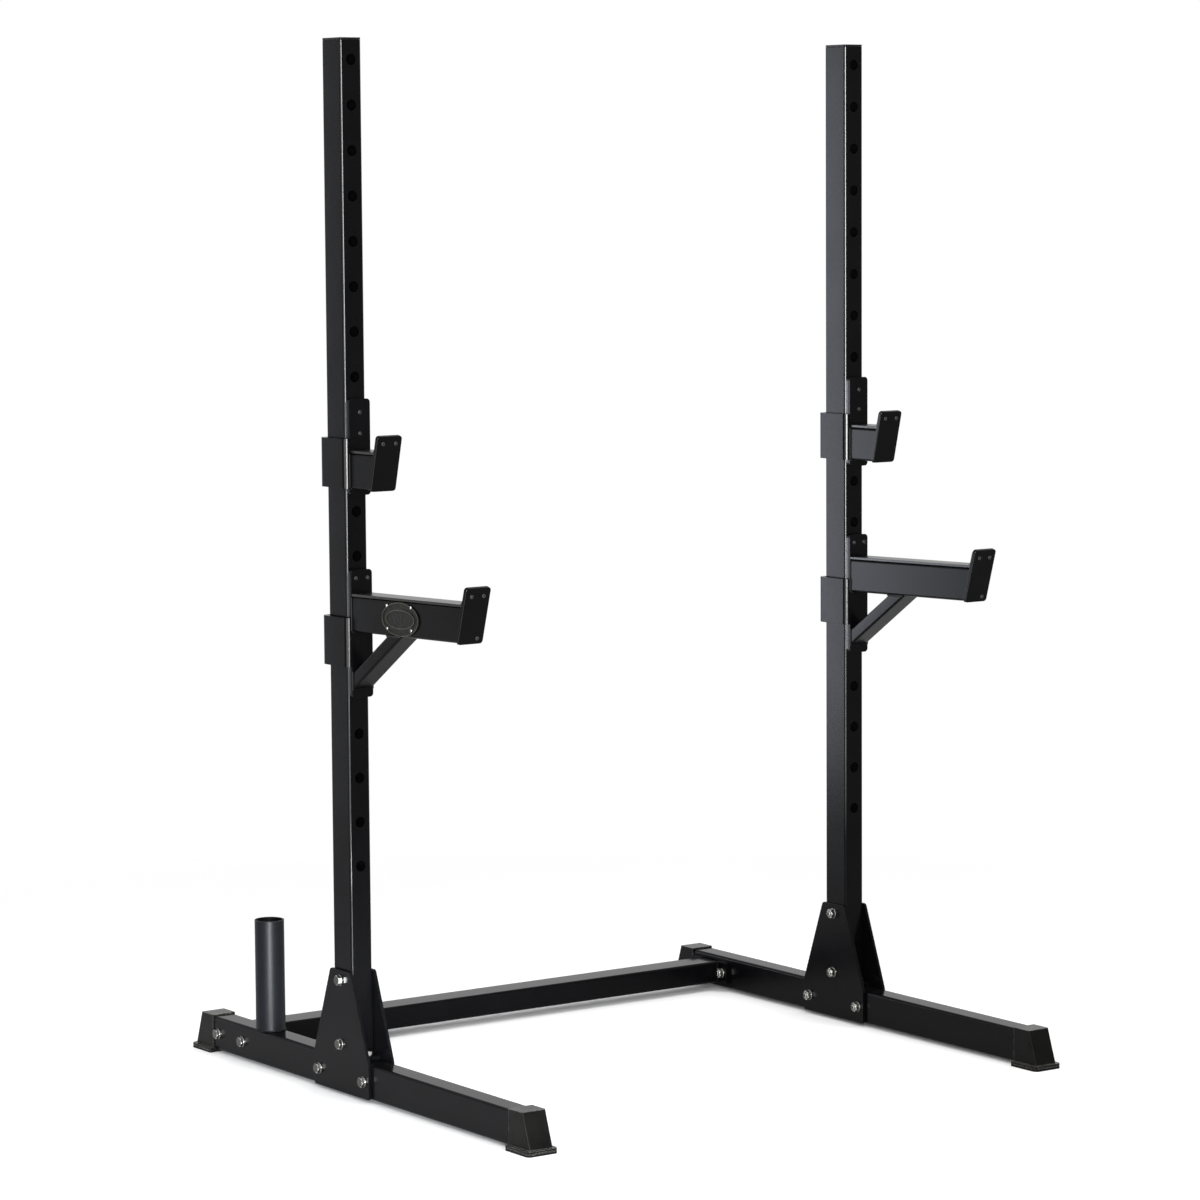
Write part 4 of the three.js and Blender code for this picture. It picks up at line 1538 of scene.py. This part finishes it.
@dataclass
class Badge:
    """The plain oval plate on the side of the left arm."""

    length: float = 0.122
    height: float = 0.062
    thickness: float = 0.002
    rim: float = 0.0028
    rim_depth: float = 0.0008
    border: float = 0.0105
    field_rise: float = 0.0004
    ring_width: float = 0.0016
    ring_height: float = 0.0006
    ring_root: float = 0.0010
    rivet_spacing: tuple[float, float] = (0.080, 0.0415)
    rivet_offset: tuple[float, float] = (0.0045, 0.0025)
    rivet_radius: float = 0.0030
    rivet_height: float = 0.0026
    rivet_dome: float = 0.0022
    body: str = "left_arm"

    def build(self, arm: SpotterArm) -> None:
        """Builds the plate, its plain rings and its four rivets.

        Args:
            arm: The arm that carries it, whose frame gives its pitch.
        """
        node = "left_arm_badge"
        middle = Matrix.Translation(sum(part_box(node), Vector()) / 2)
        place = middle @ Matrix.Rotation(-arm.reach.pitch, 4, "X")
        plate = self._oval(-self.thickness / 2, self.thickness, 0.0)
        steps = (self.rim, self.rim_depth), (self.border, -self.field_rise)
        BENCH.sink(plate, (-1, 0, 0), *steps)
        BENCH.finish_edges(plate, FINE_EDGE, 2)
        rings = BENCH.gather([self._ring(0.0), self._ring(self.rim + self.border)])
        rivets = BENCH.gather([self._rivet(y, z) for y in (-1, 1) for z in (-1, 1)])
        for piece in (plate, rings, rivets):
            BENCH.place(piece, place)
        STOCK.deliver(plate, f"{node}_plate", BADGE_METAL, self.body, node)
        STOCK.deliver(rings, f"{node}_rings", BADGE_RIM, self.body)
        STOCK.deliver(rivets, f"{node}_rivets", ZINC, self.body)

    def _oval(self, start: float, depth: float, inset: float) -> Piece:
        """Cuts an oval slab, its edge set in from the plate's."""
        oval = BENCH.round_bar(Axis.X, 0.5, (start, 0, 0), depth, 96)
        oval.scale = (1, self.length - 2 * inset, self.height - 2 * inset)
        return BENCH.settle(oval)

    def _ring(self, inset: float) -> Piece:
        """Raises one plain oval line on the plate, at a distance from its edge."""
        start = -self.thickness / 2 + self.ring_root
        ring = self._oval(start, -self.ring_root - self.ring_height, inset)
        BENCH.bore(ring, Axis.X, self.ring_width)
        BENCH.finish_edges(ring, 0.0002, 2)
        return ring

    def _rivet(self, y: int, z: int) -> Piece:
        """Sets one domed rivet on the plate, on one side and end of it."""
        face = -self.thickness / 2 + self.rim_depth
        across = self.rivet_offset[0] + y * self.rivet_spacing[0] / 2
        up = self.rivet_offset[1] + z * self.rivet_spacing[1] / 2
        start = (face, across, up)
        rivet = BENCH.round_bar(Axis.X, self.rivet_radius, start, -self.rivet_height, 24)
        BENCH.round_off(rivet, at(Axis.X, face - self.rivet_height), self.rivet_dome, 5)
        BENCH.finish_edges(rivet, 0.0)
        return rivet


# Studio


@dataclass
class Lamp:
    """One soft area lamp."""

    name: str
    place: Point
    target: Point
    width: float
    height: float
    radiance: float
    spread: float = math.pi
    colour: Point = (1.0, 1.0, 1.0)

    def build(self) -> None:
        """Adds the lamp."""
        data = bpy.data.lights.new(self.name, "AREA")
        data.shape = "RECTANGLE"
        data.size = self.width
        data.size_y = self.height
        data.energy = self.radiance * math.pi * self.width * self.height
        data.spread = self.spread
        data.color = self.colour
        lamp = bpy.data.objects.new(self.name, data)
        lamp.location = self.place
        direction = Vector(self.target) - Vector(self.place)
        lamp.rotation_euler = direction.to_track_quat("-Z", "Y").to_euler()
        lamp.visible_camera = False
        bpy.context.scene.collection.objects.link(lamp)


LOW_GRID, REAR_GRID = math.radians(28), math.radians(36)
COOL, COOLER = (0.92, 0.95, 1.0), (0.85, 0.89, 1.0)
LAMPS = (
    Lamp("front_box", (-2.6, -3.65, 1.7), (0, 0, 1.1), 1.6, 2.5, 15.0),
    Lamp("low_box", (-1.35, -0.95, 0.13), (-0.585, 0.338, 0.18), 1.1, 0.24, 6.2, LOW_GRID, COOL),
    Lamp("rear_left_box", (-1.6, 3.2, 1.0), (0.6, 0.1, 1.25), 0.9, 2.4, 0.66, REAR_GRID, COOLER),
    Lamp("overhead", (0.4, -0.8, 4.6), (0, 0, 0.5), 3.0, 3.0, 3.4),
)
WHITE = (1, 1, 1, 1)


@dataclass
class Studio:
    """Camera, lamps, world and floor."""

    azimuth: float = math.radians(-35.2)
    elevation: float = math.radians(5.84)
    roll: float = math.radians(-0.38)
    distance: float = 8.159
    focal_pixels: float = 4228.0
    image_width: float = 1200.0
    sensor_width: float = 36.0
    target: Point = (0.0, 0.035, 0.8911)
    slide: float = -0.0126
    fill: float = 0.35
    floor_radius: float = 40.0
    floor_colour: tuple[float, float, float, float] = (0.9, 0.9, 0.9, 1.0)
    floor_glow: float = 0.36
    shadow_reach: float = 0.1
    fade: tuple[float, float] = (1.2, 2.6)

    def build(self) -> None:
        """Builds the whole studio."""
        self._camera()
        self._world()
        self._floor()
        for lamp in LAMPS:
            lamp.build()
        bpy.context.scene.view_settings.view_transform = "Standard"

    def _camera(self) -> None:
        """Sets the camera at the photograph's place."""
        a, e = self.azimuth, self.elevation
        back = Vector((math.sin(a) * math.cos(e), -math.cos(a) * math.cos(e), math.sin(e)))
        right = Vector((math.cos(a), math.sin(a), 0))
        up = back.cross(right)
        rolled_right = right * math.cos(self.roll) + up * math.sin(self.roll)
        rolled_up = up * math.cos(self.roll) - right * math.sin(self.roll)
        turn = Matrix((rolled_right, rolled_up, back)).transposed().to_4x4()
        place = Vector(self.target) + right * self.slide + back * self.distance
        data = bpy.data.cameras.new("camera")
        data.sensor_width = self.sensor_width
        data.lens = self.focal_pixels / self.image_width * data.sensor_width
        camera = bpy.data.objects.new("camera", data)
        camera.matrix_world = Matrix.Translation(place) @ turn
        bpy.context.scene.collection.objects.link(camera)
        bpy.context.scene.camera = camera

    @staticmethod
    def _seen(tree: Tree) -> Signal:
        """Marks the rays that show the background: camera, glossy and transmission rays."""
        path = tree.node("ShaderNodeLightPath")
        kinds = ("Camera", "Glossy", "Transmission")
        camera, glossy, through = (Signal(tree, path.outputs[f"Is {kind} Ray"]) for kind in kinds)
        return (camera + glossy + through).span(0.0, 1.0)

    def _world(self) -> None:
        """Makes a white background that lights the stand softly."""
        world = bpy.data.worlds.new("studio")
        bpy.context.scene.world = world
        tree = Tree(world)
        light = {"Color": WHITE, "Strength": self._seen(tree) * (1.0 - self.fill) + self.fill}
        surface = tree.signal("ShaderNodeBackground", 0, None, light)
        tree.node("ShaderNodeOutputWorld", None, {"Surface": surface})

    def _floor(self) -> None:
        """Lays a white floor that keeps the stand's shadow and fades into the background."""
        disc = {"vertices": 96, "radius": self.floor_radius, "fill_type": "NGON"}
        floor = BENCH.add(bpy.ops.mesh.primitive_circle_add, **disc)
        floor.name = "floor"
        material = bpy.data.materials.new("floor")
        tree = Tree(material)
        place = tree.signal("ShaderNodeTexCoord", "Object")
        away = tree.signal("ShaderNodeVectorMath", "Value", {"operation": "LENGTH"}, {0: place})
        matt = tree.signal("ShaderNodeBsdfDiffuse", 0, None, {"Color": self.floor_colour})
        seen = self._seen(tree)
        near = {"Distance": self.shadow_reach}
        clear = tree.signal("ShaderNodeAmbientOcclusion", "AO", {"samples": 16}, near)
        glow, blank = (
            tree.signal("ShaderNodeEmission", 0, None, {"Color": WHITE, "Strength": strength})
            for strength in (seen * clear * self.floor_glow, 1.0)
        )
        lit = tree.signal("ShaderNodeAddShader", 0, None, {0: matt, 1: glow})
        mixed = {0: seen * away.span(*self.fade), 1: lit, 2: blank}
        surface = tree.signal("ShaderNodeMixShader", 0, None, mixed)
        tree.node("ShaderNodeOutputMaterial", None, {"Surface": surface})
        floor.data.materials.append(material)
        floor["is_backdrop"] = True


# The finish of each CAD node, by a part of its name; the others are powder coated.
NODE_FINISHES = (
    ("bolt", ZINC), ("_pin", ZINC), ("liner", LINER_PLASTIC), ("wear_strip", LINER_PLASTIC),
    ("_cap", CAP_PLASTIC), ("_boot", BOOT_RUBBER), ("badge", BADGE_METAL),
)


def dress_nodes() -> None:
    """Gives every CAD node the finish that a part of its name calls for."""
    for name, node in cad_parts.items():
        matches = [finish for mark, finish in NODE_FINISHES if mark in name]
        STOCK.dress(node, (matches or [POWDER_COAT])[0])


def write_sizes(before: tuple[Vector, Vector]) -> None:
    """Gathers the boxes of the CAD model and of the dressed one, but writes them nowhere.

    Args:
        before: The CAD model's lowest and highest corner.
    """
    boxes = {"cad": [list(corner) for corner in before]}
    boxes["visual"] = [list(corner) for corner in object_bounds()]


def main() -> None:
    """Builds the stand's looks in order."""
    logging.basicConfig(level=logging.INFO, format="%(name)s: %(message)s")
    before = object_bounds()
    dress_nodes()
    for side in Side:
        Foot(side).build()
    Fasteners().build()
    CrossMember().build()
    StorageTube().build()
    BarCup().build()
    arm = SpotterArm()
    arm.build()
    Badge().build(arm)
    Studio().build()
    write_sizes(before)


if __name__ == "__main__":
    main()
